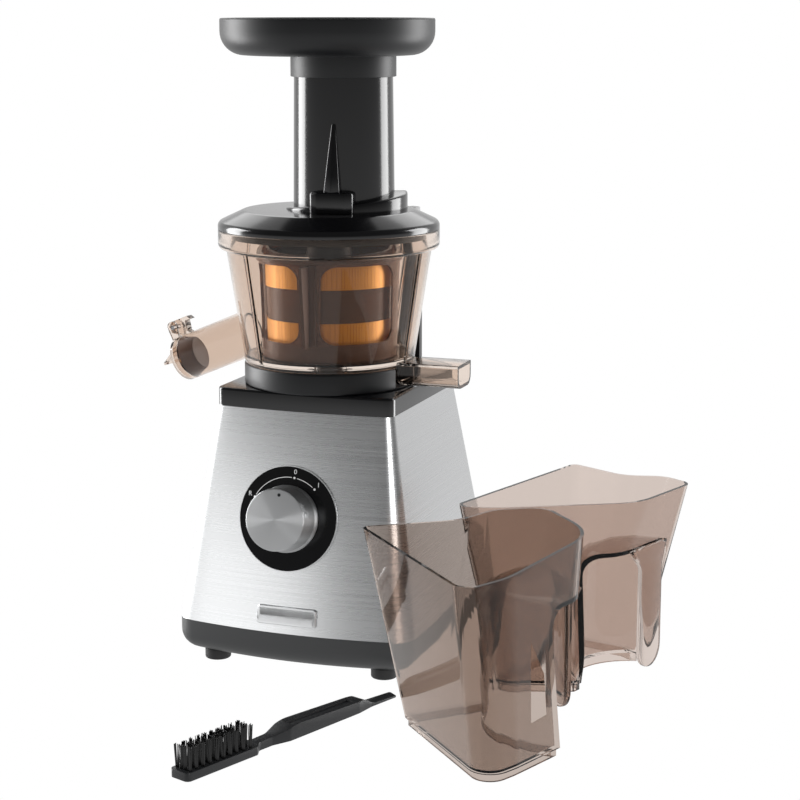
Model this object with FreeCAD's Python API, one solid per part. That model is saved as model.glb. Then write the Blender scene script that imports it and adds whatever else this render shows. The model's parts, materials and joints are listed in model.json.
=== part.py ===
import FreeCAD, Part
import math
import os

# A vertical slow juicer with its two catch jugs and its cleaning brush, in millimetres.
# The origin is on the floor under the drive axis, +Z is up and the control knob faces -Y.

# Heights of the stack, from the floor up
FOOT_H = 7.0
PAN_H = 22.0
BODY_H = 139.0
CAP_H = 12.0
SEAT_H = 14.0
BOWL_FOOT_H = 2.0
BOWL_FLOOR = 2.5
BOWL_WALL_H = 74.5
FLANGE_H = 12.5
LID_RIM_H = 4.5
LID_DOME_H = 7.8
CHUTE_H = 98.5
TRAY_H = 23.2

# Motor base: plan of the steel body at its lower and upper edge
LOW_HALF = 82.4
LOW_FRONT = 79.0
LOW_BOW = 9.0
LOW_BACK = 107.0
LOW_CORNER = 16.0
TOP_HALF = 61.0
TOP_FRONT = 50.0
TOP_BOW = 3.5
TOP_BACK = 79.0
TOP_CORNER = 6.5
SHEET = 1.0
PAN_WALL = 2.5
PAN_FLOOR = 3.0
PAN_EDGE_R = 13.0
PAN_EDGE_CUTS = 3
CAP_WALL = 3.0
CAP_EDGE = 1.2
FOOT_R = 8.5
FOOT_X = 58.6
FOOT_FRONT_Y = -55.8
FOOT_BACK_Y = 84.0
FOOT_EDGE = 1.2
CORD_BORE_R = 3.6
CORD_GLAND_R = 6.0
CORD_GLAND_LIP = 2.0
CORD_X = 40.0
CORD_RISE = 11.0

# Front controls
DIAL_X = -4.0
DIAL_RISE = 72.0
DIAL_R = 33.5
PLATE_PROUD = 1.2
KNOB_R = 21.5
KNOB_H = 20.0
KNOB_SKIRT = 1.2
KNOB_EDGE = 1.4
KNOB_DISH = 0.8
POINTER_R = 1.5
POINTER_OUT = 16.0
SPINDLE_R = 3.0
SWITCH_SIDE = 30.0
SWITCH_DEPTH = 18.0
SWITCH_NECK_R = 6.0
NAMEPLATE_W = 41.0
NAMEPLATE_H = 12.0
NAMEPLATE_RISE = 5.0
NAMEPLATE_CORNER = 2.0

# Chassis, motor and gears inside the base
CHASSIS_Z = 118.0
CHASSIS_T = 3.0
CHASSIS_HALF = 54.0
CHASSIS_FRONT = 44.0
CHASSIS_BACK = 82.0
CHASSIS_CORNER = 8.0
POST_R = 4.5
POST_INSET = 7.0
SCREW_R = 1.6
SCREW_HEAD_R = 3.2
SCREW_HEAD_H = 1.8
SCREW_L = 14.0
MOTOR_R = 27.0
MOTOR_L = 62.0
MOTOR_WALL = 2.5
MOTOR_END = 4.0
ROTOR_R = 20.0
ROTOR_GAP = 6.0
MOTOR_SHAFT_R = 3.0
FAN_R = 24.0
FAN_H = 9.0
FAN_HUB_R = 7.0
FAN_BLADES = 7
FAN_BLADE_T = 1.6
FAN_DROP = 3.0
GEAR_MODULE = 1.5
PINION_TEETH = 12
DRIVE_TEETH = 48
GEAR_FACE = 12.0
GEAR_WEB = 5.0
GEAR_RIM = 5.0
SHAFT_R = 6.0
SHAFT_COLLAR_R = 9.0
SHAFT_COLLAR_H = 2.2
SHAFT_FOOT = 6.0
HEX_FLATS = 10.0
HEX_H = 22.0
BUSH_R = 10.0
BUSH_LIP_R = 13.0
BUSH_LIP = 1.5

# Bowl seat on the cap and the safety post behind the bowl
SEAT_R = 56.0
SEAT_W = 10.0
SEAT_EDGE = 1.5
POST_LOW_W = 15.0
POST_TOP_W = 7.0
POST_RIGHT_X = 37.0
POST_FRONT_Y = 72.6
POST_DEPTH = 6.2
POST_TOP_GAP = 1.0
POST_EDGE = 1.2

# Bowl with its two spouts
BOWL_LOW_R = 55.5
BOWL_TOP_R = 67.0
BOWL_WALL = 2.2
FLANGE_R = 72.1
FLANGE_EDGE = 3.0
SPIGOT_WALL = 2.2
SPIGOT_H = 10.0
HUB_R = 11.0
HUB_BORE_R = 8.4
HUB_UP = 4.0
HUB_DOWN = 6.0
RIB_ANGLES = (-119.0, -9.0, 61.0, 171.0)
RIB_W = 2.2
RIB_PROUD = 1.8
PULP_W = 27.0
PULP_H = 15.5
PULP_WALL = 2.2
PULP_Y = -4.0
PULP_END_X = 94.5
PULP_DROP = 11.5
PULP_CORNER = 6.5
JUICE_R = 15.2
JUICE_WALL = 1.9
JUICE_MOUTH_X = -104.2
JUICE_MOUTH_Y = 7.0
JUICE_MOUTH_DROP = 5.0
JUICE_TURN = 9.0
JUICE_DIP = 22.5
JUICE_L = 60.0

# Flip cap of the juice spout
FLIP_RIM = 6.7
FLIP_FACE = 2.0
FLIP_WALL = 1.8
FLIP_PIVOT_UP = 22.0
FLIP_PIVOT_OUT = 3.5
FLIP_EAR_R = 4.2
FLIP_EAR_W = 6.4
FLIP_CHEEK = 2.2
FLIP_PIN_R = 1.5
FLIP_TAB_W = 9.0
PLUG_R = 12.6
PLUG_TIP_R = 10.0
PLUG_L = 11.0
PLUG_STEM_R = 4.0

# Strainer, screens, wiper frame and their gears
STRAINER_LOW_R = 40.0
STRAINER_TOP_R = 41.6
STRAINER_WALL = 1.9
STRAINER_PLATE = 2.0
STRAINER_HOLE_R = 18.6
SCREEN_T = 0.6
SCREEN_LOWER_RISE = 11.0
SCREEN_LOWER_H = 15.0
SCREEN_UPPER_RISE = 48.0
SCREEN_UPPER_H = 17.0
STRAINER_H = 69.5
WINDOW_COUNT = 6
WINDOW_RIB = 5.0
SLOT_COUNT = 24
SLOT_W = 1.2
LEG_OUT = 34.5
LEG_IN = 22.0
LEG_W = 18.0
LEG_WALL = 1.5
WIPER_GAP = 2.5
WIPER_WALL = 1.8
WIPER_H = 68.0
WIPER_RIM = 1.6
WIPER_RIM_H = 3.0
WIPER_POSTS = 4
WIPER_POST_W = 13.0
WIPER_FIRST_ANGLE = -84.7
WIPER_WINDOW_RISE = 12.5
WIPER_WINDOW_H = 51.0
WIPER_WINDOW_CORNER = 9.0
BLADE_COUNT = 2
BLADE_PAD_W = 9.0
BLADE_PAD_T = 2.2
BLADE_T = 1.6
RING_MODULE = 2.0
SUN_TEETH = 14
IDLER_TEETH = 12
RING_TEETH = 38
RING_GEAR_H = 7.2
TOOTH_TIP = 0.8
TOOTH_ROOT = 1.1
BACKLASH_DEG = 0.35
IDLER_PIN_R = 2.5

# Auger
AUGER_R = 37.2
AUGER_LOW_R = 30.0
AUGER_TOP_R = 12.0
AUGER_NECK_R = 17.6
AUGER_H = 77.5
AUGER_PIN_R = 3.0
AUGER_PITCH = 30.0
AUGER_TURNS = 1.9
FLIGHT_TIP_DEG = 26.0
FLIGHT_ROOT_DEG = 56.0
AUGER_STEP_DEG = 24.0
AUGER_CORE_SIDES = 8
SOCKET_R = 9.0
SOCKET_ROOF = 3.0

# Lid with its feed chute
LID_FLAT_R = 55.5
LID_WALL = 2.2
LID_LIP_WALL = 2.1
LID_LIP_H = 5.0
CHUTE_X = 6.0
CHUTE_Y = 12.0
CHUTE_LOW_R = 33.1
CHUTE_TOP_R = 31.9
CHUTE_BORE_R = 29.5
BOSS_R = 6.0
BOSS_UP = 1.0
ARM_W = 5.0
ARM_H = 5.0
FIN_ANGLE = -80.0
FIN_T = 5.0
FIN_OUT = 17.0
FIN_TOP = 56.0
KEEPER_W = 29.0
KEEPER_OUT = 15.5
KEEPER_H = 14.5
KEEPER_CORNER = 4.0
RAMP_FROM = -150.0
RAMP_TO = 24.0
RAMP_R = 41.5
RAMP_LOW = 0.8
RAMP_H = 11.0
RAMP_STEP = 14.5
LID_TAB_ANGLE = 64.0
LID_TAB_OUT = 7.5
LID_TAB_W = 8.0
LID_TAB_T = 4.0

# Hopper tray
TRAY_R = 68.8
TRAY_WALL = 2.4
TRAY_EDGE_R = 15.0
COLLAR_R = 34.2
COLLAR_H = 13.8

# Catch jugs
JUG_H = 120.0
JUG_WALL = 2.2
JUG_FOOT_H = 5.0
JUG_FOOT_INSET = 2.0
JUG_RIM = ((0, 72, 6), (0, -72, 10), (34, -60, 70), (121, 4, 56), (123, 70, 15), (90, 77, 24), (60, 63, 34))
JUG_BASE = ((20, 54, 5), (20, -58, 13), (46, -48, 40), (88, -27, 3), (92, 50, 3), (70, 56, 12), (46, 55, 20))
JUG_POCKET_U = 114.0
JUG_POCKET_V = 14.0
JUG_POCKET_R = 54.0
JUG_POCKET_H = 86.0
JUG_POCKET_EDGE = 12.0
GRIP_U = 106.0
GRIP_V = 30.0
GRIP_T = 3.4
GRIP_W = 18.0
GRIP_LOW_Z = 10.0
GRIP_FLARE = 12.0
JUG_PLACES = (("juice_jug", 120.9, -184.2, 43.2, 1.0), ("pulp_jug", 127.8, 0.9, -16.7, 0.74))

# Cleaning brush, laid on the floor
BRUSH_X = 11.0
BRUSH_Y = -256.0
BRUSH_TURN = 69.0
BRUSH_HEAD_L = 55.0
BRUSH_HEAD_W = 15.0
BRUSH_HEAD_T = 5.0
BRUSH_NECK_L = 20.0
BRUSH_NECK_W = 7.0
BRUSH_GRIP_L = 78.0
BRUSH_GRIP_W = 13.0
BRUSH_GRIP_T = 9.0
BRUSH_TIP_L = 27.0
BRUSH_TIP_W = 8.0
BRUSH_TIP_T = 2.0
TUFT_ROWS = 4
TUFT_COLUMNS = 10
TUFT_R = 1.3
TUFT_H = 14.5
TUFT_SIDES = 4
GRIP_GROOVES = 3
GRIP_GROOVE_W = 1.2

# Clearances
RUNNING = 0.05
PRESSED = 0.02
SEATED = 0.3
SLIDING = 0.6

# Levels worked out from the heights
PAN_Z = FOOT_H
BODY_Z = PAN_Z + PAN_H
BODY_TOP_Z = BODY_Z + BODY_H
CAP_TOP_Z = BODY_TOP_Z + CAP_H
SEAT_TOP_Z = CAP_TOP_Z + SEAT_H
FLOOR_LOW_Z = SEAT_TOP_Z + BOWL_FOOT_H
FLOOR_Z = FLOOR_LOW_Z + BOWL_FLOOR
FLANGE_Z = SEAT_TOP_Z + BOWL_WALL_H
BOWL_TOP_Z = FLANGE_Z + FLANGE_H
LID_TOP_Z = BOWL_TOP_Z + LID_RIM_H + LID_DOME_H
CHUTE_TOP_Z = LID_TOP_Z + CHUTE_H
TRAY_TOP_Z = CHUTE_TOP_Z + TRAY_H
STRAINER_TOP_Z = FLOOR_Z + STRAINER_H
SCREEN_LOWER = (FLOOR_Z + SCREEN_LOWER_RISE, FLOOR_Z + SCREEN_LOWER_RISE + SCREEN_LOWER_H)
SCREEN_UPPER = (FLOOR_Z + SCREEN_UPPER_RISE, FLOOR_Z + SCREEN_UPPER_RISE + SCREEN_UPPER_H)
WIPER_TOP_Z = FLOOR_Z + WIPER_H
WIPER_WINDOW_LOW_Z = FLOOR_Z + WIPER_WINDOW_RISE
WIPER_WINDOW_TOP_Z = WIPER_WINDOW_LOW_Z + WIPER_WINDOW_H
AUGER_TOP_Z = FLOOR_Z + AUGER_H

# Radii and places that follow from others
SEAT_BORE_R = SEAT_R - SEAT_W
SPIGOT_R = SEAT_BORE_R - SLIDING
JUICE_MOUTH = (JUICE_MOUTH_X, JUICE_MOUTH_Y, SEAT_TOP_Z - JUICE_MOUTH_DROP)
LEAN = math.atan((LOW_FRONT - TOP_FRONT) / BODY_H)
UP = FreeCAD.Vector(0, 0, 1)


def vec(x, y, z=0.0):
    return FreeCAD.Vector(x, y, z)


def polar(radius, degrees, z=0.0):
    turn = math.radians(degrees)
    return vec(radius * math.cos(turn), radius * math.sin(turn), z)


def between(low, high, share):
    return low + (high - low) * share


def cylinder(radius, low, high, x=0.0, y=0.0):
    return Part.makeCylinder(radius, high - low, vec(x, y, low))


def cone(radius_low, radius_high, low, high, x=0.0, y=0.0):
    return Part.makeCone(radius_low, radius_high, high - low, vec(x, y, low))


def tube(outer, inner, low, high, x=0.0, y=0.0):
    return cylinder(outer, low, high, x, y).cut(cylinder(inner, low - 1, high + 1, x, y))


def box(x0, x1, y0, y1, z0, z1):
    return Part.makeBox(x1 - x0, y1 - y0, z1 - z0, vec(x0, y0, z0))


def turned(shape, degrees, x=0.0, y=0.0):
    """A copy turned about a vertical line through x, y."""
    copy = shape.copy()
    copy.rotate(vec(x, y), UP, degrees)
    return copy


def fused(shapes):
    """One solid out of several that touch or overlap."""
    whole = shapes[0].multiFuse(shapes[1:])
    return whole.removeSplitter()


def flat_point(a, b):
    return vec(a, b)


def upright_point(a, b):
    return vec(a, 0, b)


def outline(corners, to_point):
    """A closed wire through corners (a, b, radius), each rounded by a tangent arc."""
    spots = [vec(a, b) for a, b, _ in corners]
    starts, ends, middles = [], [], []
    for i, (_, _, radius) in enumerate(corners):
        here = spots[i]
        before = (spots[i - 1] - here).normalize()
        after = (spots[(i + 1) % len(spots)] - here).normalize()
        if not radius:
            starts.append(here)
            ends.append(here)
            middles.append(None)
            continue
        half = before.getAngle(after) / 2
        reach = radius / math.tan(half)
        starts.append(here + before * reach)
        ends.append(here + after * reach)
        centre = here + (before + after).normalize() * (radius / math.sin(half))
        middles.append(centre + (here - centre).normalize() * radius)
    edges = []
    for i, middle in enumerate(middles):
        if middle is not None:
            arc = [to_point(p.x, p.y) for p in (starts[i], middle, ends[i])]
            edges.append(Part.Arc(*arc).toShape())
        leave = ends[i]
        arrive = starts[(i + 1) % len(starts)]
        if (arrive - leave).Length > 1e-6:
            line = Part.makeLine(to_point(leave.x, leave.y), to_point(arrive.x, arrive.y))
            edges.append(line)
    return Part.Wire(edges)


def sharp(points):
    return [(a, b, 0) for a, b in points]


def prism(corners, low, high):
    """An upright solid on a flat outline of corners (x, y, radius)."""
    face = Part.Face(outline(corners, flat_point))
    face.translate(vec(0, 0, low))
    return face.extrude(vec(0, 0, high - low))


def slab(corners, y0, y1):
    """A solid with an upright outline of corners (x, z, radius), from y0 to y1."""
    face = Part.Face(outline(corners, upright_point))
    face.translate(vec(0, y0, 0))
    return face.extrude(vec(0, y1 - y0, 0))


def bevelled(corners):
    """Corners (a, b, rounding) with each rounding as one to four straight cuts along its arc."""
    spots = []
    for i, (a, b, radius) in enumerate(corners):
        if not radius:
            spots.append((a, b, 0))
            continue
        here = vec(a, b)
        before = (vec(*corners[i - 1][:2]) - here).normalize()
        after = (vec(*corners[(i + 1) % len(corners)][:2]) - here).normalize()
        half = before.getAngle(after) / 2
        middle = (before + after).normalize()
        centre = here + middle * (radius / math.sin(half))
        side = (before - middle * before.dot(middle)).normalize()
        cuts = 4 if radius > 8 else 2 if radius > 2 else 1
        for j in range(cuts + 1):
            turn = (math.pi / 2 - half) * (1 - 2 * j / cuts)
            spot = centre + (side * math.sin(turn) - middle * math.cos(turn)) * radius
            spots.append((spot.x, spot.y, 0))
    return spots


def revolved(corners):
    """A turned solid from the half section of corners (radius, z, rounding)."""
    face = Part.Face(outline(bevelled(corners), upright_point))
    return face.revolve(vec(0, 0, 0), UP, 360)


def lofted(wires):
    return Part.makeLoft(wires, True, True)


def skinned(rings):
    """A solid over rings of points, with two flat facets between neighbouring pairs."""
    faces = [Part.Face(Part.makePolygon(ring + ring[:1])) for ring in (rings[0], rings[-1])]
    for low, high in zip(rings, rings[1:]):
        for i, corner in enumerate(low):
            after = (i + 1) % len(low)
            faces.append(Part.Face(Part.makePolygon([corner, low[after], high[i], corner])))
            faces.append(Part.Face(Part.makePolygon([low[after], high[after], high[i], low[after]])))
    return Part.makeSolid(Part.makeShell(faces))


def gear_wire(teeth, module, z, phase, tip, root, thinner):
    """An involute gear outline; thinner narrows each tooth by that many degrees on each flank."""
    pitch_r = teeth * module / 2
    base_r = pitch_r * math.cos(math.radians(20))
    involute = math.tan(math.radians(20)) - math.radians(20)
    tip_r = pitch_r + tip * module
    root_r = pitch_r - root * module
    offsets = []
    for radius in (root_r, pitch_r, tip_r):
        turn = math.acos(min(1.0, base_r / radius))
        spread = math.degrees(math.pi / (2 * teeth) + involute - (math.tan(turn) - turn))
        offsets.append((radius, spread - thinner))
    points = []
    for tooth in range(teeth):
        centre = phase + 360.0 * tooth / teeth
        points += [polar(radius, centre - spread, z) for radius, spread in offsets]
        points += [polar(radius, centre + spread, z) for radius, spread in reversed(offsets)]
    return Part.makePolygon(points + points[:1])


def gear(teeth, module, low, high, phase, tip=TOOTH_TIP, root=TOOTH_ROOT, thinner=BACKLASH_DEG):
    face = Part.Face(gear_wire(teeth, module, low, phase, tip, root, thinner))
    return face.extrude(vec(0, 0, high - low))


def base_outline(z, inset=0.0):
    """Plan of the leaning motor base at height z: bowed front, straight sides and back."""
    share = (z - BODY_Z) / BODY_H
    half = between(LOW_HALF, TOP_HALF, share) - inset
    front = between(LOW_FRONT, TOP_FRONT, share) - inset
    back = between(LOW_BACK, TOP_BACK, share) - inset
    bow = between(LOW_BOW, TOP_BOW, share)
    corner = max(between(LOW_CORNER, TOP_CORNER, share) - inset, 1.0)
    bow_r = (half ** 2 + bow ** 2) / (2 * bow)
    bow_y = bow_r - front
    corner_x = half - corner
    corner_y = bow_y - math.sqrt((bow_r - corner) ** 2 - corner_x ** 2)
    centre = vec(0, bow_y, z)
    right = vec(corner_x, corner_y, z)
    meet = centre + (right - centre).normalize() * bow_r
    lean = (vec(1, 0) + (right - centre).normalize()).normalize()
    side = vec(half, corner_y, z)
    rear = vec(half, back - corner, z)
    rear_mid = vec(corner_x, back - corner, z) + vec(1, 1).normalize() * corner
    rear_end = vec(corner_x, back, z)

    def mirror(point):
        return vec(-point.x, point.y, point.z)

    edges = [
        Part.Arc(mirror(meet), vec(0, -front, z), meet).toShape(),
        Part.Arc(meet, right + lean * corner, side).toShape(),
        Part.makeLine(side, rear),
        Part.Arc(rear, rear_mid, rear_end).toShape(),
        Part.makeLine(rear_end, mirror(rear_end)),
        Part.Arc(mirror(rear_end), mirror(rear_mid), mirror(rear)).toShape(),
        Part.makeLine(mirror(rear), mirror(side)),
        Part.Arc(mirror(side), mirror(right + lean * corner), mirror(meet)).toShape(),
    ]
    return Part.Wire(edges)


def leaning_block(low, high, inset=0.0):
    return lofted([base_outline(low, inset), base_outline(high, inset)])


def front_y(z):
    return -between(LOW_FRONT, TOP_FRONT, (z - BODY_Z) / BODY_H)


def on_front(shape, z, x=0.0):
    """Move a shape from its own frame, +Z outward and +Y up, onto the leaning front at x and z."""
    placed = shape.copy()
    placed.rotate(vec(0, 0), vec(1, 0, 0), 90 - math.degrees(LEAN))
    placed.translate(vec(x, front_y(z), z))
    return placed


def on_dial(shape):
    return on_front(shape, BODY_Z + DIAL_RISE, DIAL_X)


def housing_shell():
    outer = leaning_block(BODY_Z, BODY_TOP_Z)
    inner = lofted([base_outline(z, SHEET) for z in (BODY_Z - 1, BODY_TOP_Z + 1)])
    neck = cylinder(SWITCH_NECK_R + RUNNING, -20, 20)
    return outer.cut(inner).cut(on_dial(neck))


def pan_block(low, high, radius, inset):
    """A block on the base outline whose lower edge rolls in along a quarter circle."""
    levels = [(high, 0.0)]
    for i in range(PAN_EDGE_CUTS + 1):
        turn = math.radians(90.0 * i / PAN_EDGE_CUTS)
        levels.append((low + radius * (1 - math.sin(turn)), radius * (1 - math.cos(turn))))
    wires = []
    for z, in_by in levels:
        wire = base_outline(BODY_Z, inset + in_by)
        wire.translate(vec(0, 0, z - BODY_Z))
        wires.append(wire)
    return lofted(wires)


def base_pan():
    block = pan_block(PAN_Z, BODY_Z, PAN_EDGE_R, 0)
    block = block.cut(pan_block(PAN_Z + PAN_FLOOR, BODY_Z + 1, PAN_EDGE_R - PAN_WALL, PAN_WALL))
    for x, y in chassis_corners():
        block = block.cut(cylinder(SCREW_R + RUNNING, PAN_Z - 1, PAN_Z + PAN_FLOOR + 1, x, y))
        block = block.cut(cylinder(SCREW_HEAD_R + RUNNING, PAN_Z - 1, PAN_Z + SCREW_HEAD_H, x, y))
    gland = Part.makeCylinder(CORD_GLAND_R + PRESSED, 40, cord_point(-20), vec(0, 1, 0))
    return block.cut(gland)


def cord_point(out):
    return vec(CORD_X, LOW_BACK + out, PAN_Z + CORD_RISE)


def cord_gland():
    """The grommet at the back that a mains lead enters through."""
    along = vec(0, 1, 0)
    sleeve = Part.makeCylinder(CORD_GLAND_R, PAN_WALL + CORD_GLAND_LIP, cord_point(-PAN_WALL), along)
    lip = Part.makeCylinder(CORD_GLAND_R + CORD_GLAND_LIP, CORD_GLAND_LIP, cord_point(0), along)
    bore = Part.makeCylinder(CORD_BORE_R, 40, cord_point(-20), along)
    return fused([sleeve, lip]).cut(bore)


def feet():
    foot = revolved([(0, 0, 0), (FOOT_R, 0, FOOT_EDGE), (FOOT_R, FOOT_H, 0), (0, FOOT_H, 0)])
    solids = []
    for x in (-FOOT_X, FOOT_X):
        for y in (FOOT_FRONT_Y, FOOT_BACK_Y):
            copy = foot.copy()
            copy.translate(vec(x, y))
            solids.append(copy)
    return Part.makeCompound(solids)


def top_cap():
    wires = [base_outline(BODY_TOP_Z), base_outline(BODY_TOP_Z)]
    wires[1].translate(vec(0, 0, CAP_H))
    block = lofted(wires)
    top_edges = [e for e in block.Edges if e.BoundBox.ZMin > CAP_TOP_Z - 0.01]
    block = block.makeChamfer(CAP_EDGE, top_edges)
    room = [base_outline(BODY_TOP_Z, CAP_WALL), base_outline(BODY_TOP_Z, CAP_WALL)]
    room[0].translate(vec(0, 0, -1))
    room[1].translate(vec(0, 0, CAP_H - CAP_WALL))
    block = block.cut(lofted(room))
    boss = cylinder(BUSH_LIP_R, BODY_TOP_Z - CAP_WALL, CAP_TOP_Z)
    return fused([block, boss]).cut(cylinder(BUSH_R + PRESSED, BODY_Z, CAP_TOP_Z + 1))


def bowl_seat():
    ring = revolved([
        (SEAT_BORE_R, CAP_TOP_Z, 0), (SEAT_R, CAP_TOP_Z, SEAT_EDGE),
        (SEAT_R, SEAT_TOP_Z, SEAT_EDGE), (SEAT_BORE_R, SEAT_TOP_Z, 0),
    ])
    low = SEAT_TOP_Z - PULP_DROP
    gap = SLIDING + 0.4
    side = PULP_W / 2 + gap
    notch = box(10, SEAT_R + 9, PULP_Y - side, PULP_Y + side, low - gap, SEAT_TOP_Z + 1)
    return ring.cut(notch)


def interlock_post():
    """The tapered post behind the bowl that the lid's tab closes onto."""
    right = POST_RIGHT_X
    top = BOWL_TOP_Z + LID_RIM_H - POST_TOP_GAP
    face = slab([
        (right - POST_LOW_W, CAP_TOP_Z, 0), (right, CAP_TOP_Z, 0),
        (right, top, 2.5), (right - POST_TOP_W, top, 2.5),
    ], POST_FRONT_Y, POST_FRONT_Y + POST_DEPTH)
    rear_edges = [e for e in face.Edges if e.BoundBox.YMin > POST_FRONT_Y + POST_DEPTH - 0.01
                  and e.BoundBox.ZMin > CAP_TOP_Z - 0.01 and e.BoundBox.ZMax > CAP_TOP_Z + 1]
    return face.makeChamfer(POST_EDGE, rear_edges)


def skin_on_front(cutter, proud):
    """The part of a thin skin over the leaning front that lies inside a cutter."""
    outer = lofted([base_outline(z, -proud) for z in (BODY_Z, BODY_TOP_Z)])
    return outer.cut(leaning_block(BODY_Z - 1, BODY_TOP_Z + 1)).common(cutter)


def dial_plate():
    disc = on_dial(cylinder(DIAL_R, -8, 8))
    hole = on_dial(cylinder(SWITCH_NECK_R + RUNNING, -9, 9))
    return skin_on_front(disc, PLATE_PROUD).cut(hole)


def nameplate():
    """The blank plate low on the front."""
    w = NAMEPLATE_W / 2
    h = NAMEPLATE_H / 2
    r = NAMEPLATE_CORNER
    plate = prism([(-w, -h, r), (w, -h, r), (w, h, r), (-w, h, r)], -8, 8)
    return skin_on_front(on_front(plate, BODY_Z + NAMEPLATE_RISE + h), PLATE_PROUD)


def switch_knob():
    low = PLATE_PROUD + SEATED
    profile = [
        (SPINDLE_R + PRESSED, low, 0), (KNOB_R + KNOB_SKIRT, low, 0.3),
        (KNOB_R + KNOB_SKIRT, low + 2, 0.6), (KNOB_R, low + 3.5, 1.0),
        (KNOB_R - 0.6, low + KNOB_H, KNOB_EDGE), (KNOB_R - 3.5, low + KNOB_H - KNOB_DISH, 1.0),
        (0, low + KNOB_H - KNOB_DISH, 0), (0, low + KNOB_H - 6, 0),
        (SPINDLE_R + PRESSED, low + KNOB_H - 6, 0),
    ]
    knob = revolved(profile)
    pointer = cylinder(POINTER_R, low + KNOB_H - KNOB_DISH - 0.7, low + KNOB_H + 1, 0, POINTER_OUT)
    return on_dial(knob.cut(pointer))


def switch_spindle():
    top = PLATE_PROUD + SEATED + KNOB_H - 6
    shaft = cylinder(SPINDLE_R, -SWITCH_DEPTH - 2, top)
    return on_dial(shaft)


def rotary_switch():
    """The switch body behind the front, with the neck that its spindle turns in."""
    half = SWITCH_SIDE / 2
    back = -SHEET - SWITCH_DEPTH
    front = -SHEET - 1.2
    case = prism([(-half, -half, 2), (half, -half, 2), (half, half, 2), (-half, half, 2)], back, front)
    neck = cylinder(SWITCH_NECK_R, front - 1, PLATE_PROUD)
    bore = cylinder(SPINDLE_R + RUNNING, back - 1, PLATE_PROUD + 1)
    return on_dial(fused([case, neck]).cut(bore))


def motor_y():
    return GEAR_MODULE * (PINION_TEETH + DRIVE_TEETH) / 2


def chassis_corners():
    x = CHASSIS_HALF - POST_INSET
    return [(sx * x, y) for sx in (-1, 1) for y in (POST_INSET - CHASSIS_FRONT, CHASSIS_BACK - POST_INSET)]


def chassis_plate():
    half, r = CHASSIS_HALF, CHASSIS_CORNER
    plate = prism([
        (-half, -CHASSIS_FRONT, r), (half, -CHASSIS_FRONT, r),
        (half, CHASSIS_BACK, r), (-half, CHASSIS_BACK, r),
    ], CHASSIS_Z, CHASSIS_Z + CHASSIS_T)
    plate = plate.cut(cylinder(BUSH_R + PRESSED, 0, CHASSIS_Z + 10))
    return plate.cut(cylinder(MOTOR_SHAFT_R + 2, 0, CHASSIS_Z + 10, 0, motor_y()))


def chassis_posts():
    low = PAN_Z + PAN_FLOOR
    posts = []
    for x, y in chassis_corners():
        corners = [polar(POST_R, 60 * i, low) + vec(x, y) for i in range(7)]
        post = Part.Face(Part.makePolygon(corners)).extrude(vec(0, 0, CHASSIS_Z - low))
        posts.append(post.cut(cylinder(SCREW_R + PRESSED, low - 1, low + SCREW_L, x, y)))
    return Part.makeCompound(posts)


def pan_screws():
    screws = []
    for x, y in chassis_corners():
        head = cylinder(SCREW_HEAD_R, PAN_Z, PAN_Z + SCREW_HEAD_H, x, y)
        shank = cylinder(SCREW_R, PAN_Z, PAN_Z + SCREW_L, x, y)
        screws.append(fused([head, shank]))
    return Part.makeCompound(screws)


def motor_case():
    y = motor_y()
    low = CHASSIS_Z - MOTOR_L
    case = cylinder(MOTOR_R, low, CHASSIS_Z, 0, y)
    room = cylinder(MOTOR_R - MOTOR_WALL, low + MOTOR_END, CHASSIS_Z - MOTOR_END, 0, y)
    return case.cut(room).cut(cylinder(MOTOR_SHAFT_R + RUNNING, low - 1, CHASSIS_Z + 1, 0, y))


def gear_low_z():
    return CHASSIS_Z + CHASSIS_T + BUSH_LIP + SEATED + SHAFT_COLLAR_H


def motor_shaft():
    low = CHASSIS_Z - MOTOR_L - FAN_DROP - FAN_H
    return cylinder(MOTOR_SHAFT_R, low, gear_low_z() + GEAR_FACE, 0, motor_y())


def motor_rotor():
    y = motor_y()
    low = CHASSIS_Z - MOTOR_L + MOTOR_END + ROTOR_GAP
    high = CHASSIS_Z - MOTOR_END - ROTOR_GAP
    return tube(ROTOR_R, MOTOR_SHAFT_R + PRESSED, low, high, 0, y)


def cooling_fan():
    y = motor_y()
    high = CHASSIS_Z - MOTOR_L - FAN_DROP
    low = high - FAN_H
    parts = [cylinder(FAN_HUB_R, low, high, 0, y), cylinder(FAN_R, high - 1.2, high, 0, y)]
    for i in range(FAN_BLADES):
        blade = box(FAN_HUB_R - 1, FAN_R, y - FAN_BLADE_T / 2, y + FAN_BLADE_T / 2, low, high)
        parts.append(turned(blade, 360.0 * i / FAN_BLADES, 0, y))
    return fused(parts).cut(cylinder(MOTOR_SHAFT_R + PRESSED, low - 1, high + 1, 0, y))


def motor_pinion():
    low = gear_low_z()
    phase = -90 + 180.0 / PINION_TEETH
    wheel = gear(PINION_TEETH, GEAR_MODULE, low, low + GEAR_FACE, phase)
    wheel = wheel.cut(cylinder(MOTOR_SHAFT_R + PRESSED, low - 1, low + GEAR_FACE + 1))
    wheel.translate(vec(0, motor_y()))
    return wheel


def drive_gear():
    low = gear_low_z()
    high = low + GEAR_FACE
    wheel = gear(DRIVE_TEETH, GEAR_MODULE, low, high, 0)
    rim = DRIVE_TEETH * GEAR_MODULE / 2 - TOOTH_ROOT * GEAR_MODULE - GEAR_RIM
    recess = tube(rim, SHAFT_R + GEAR_RIM, low + GEAR_WEB, high + 1)
    return wheel.cut(recess).cut(cylinder(SHAFT_R + PRESSED, low - 1, high + 1))


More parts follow.
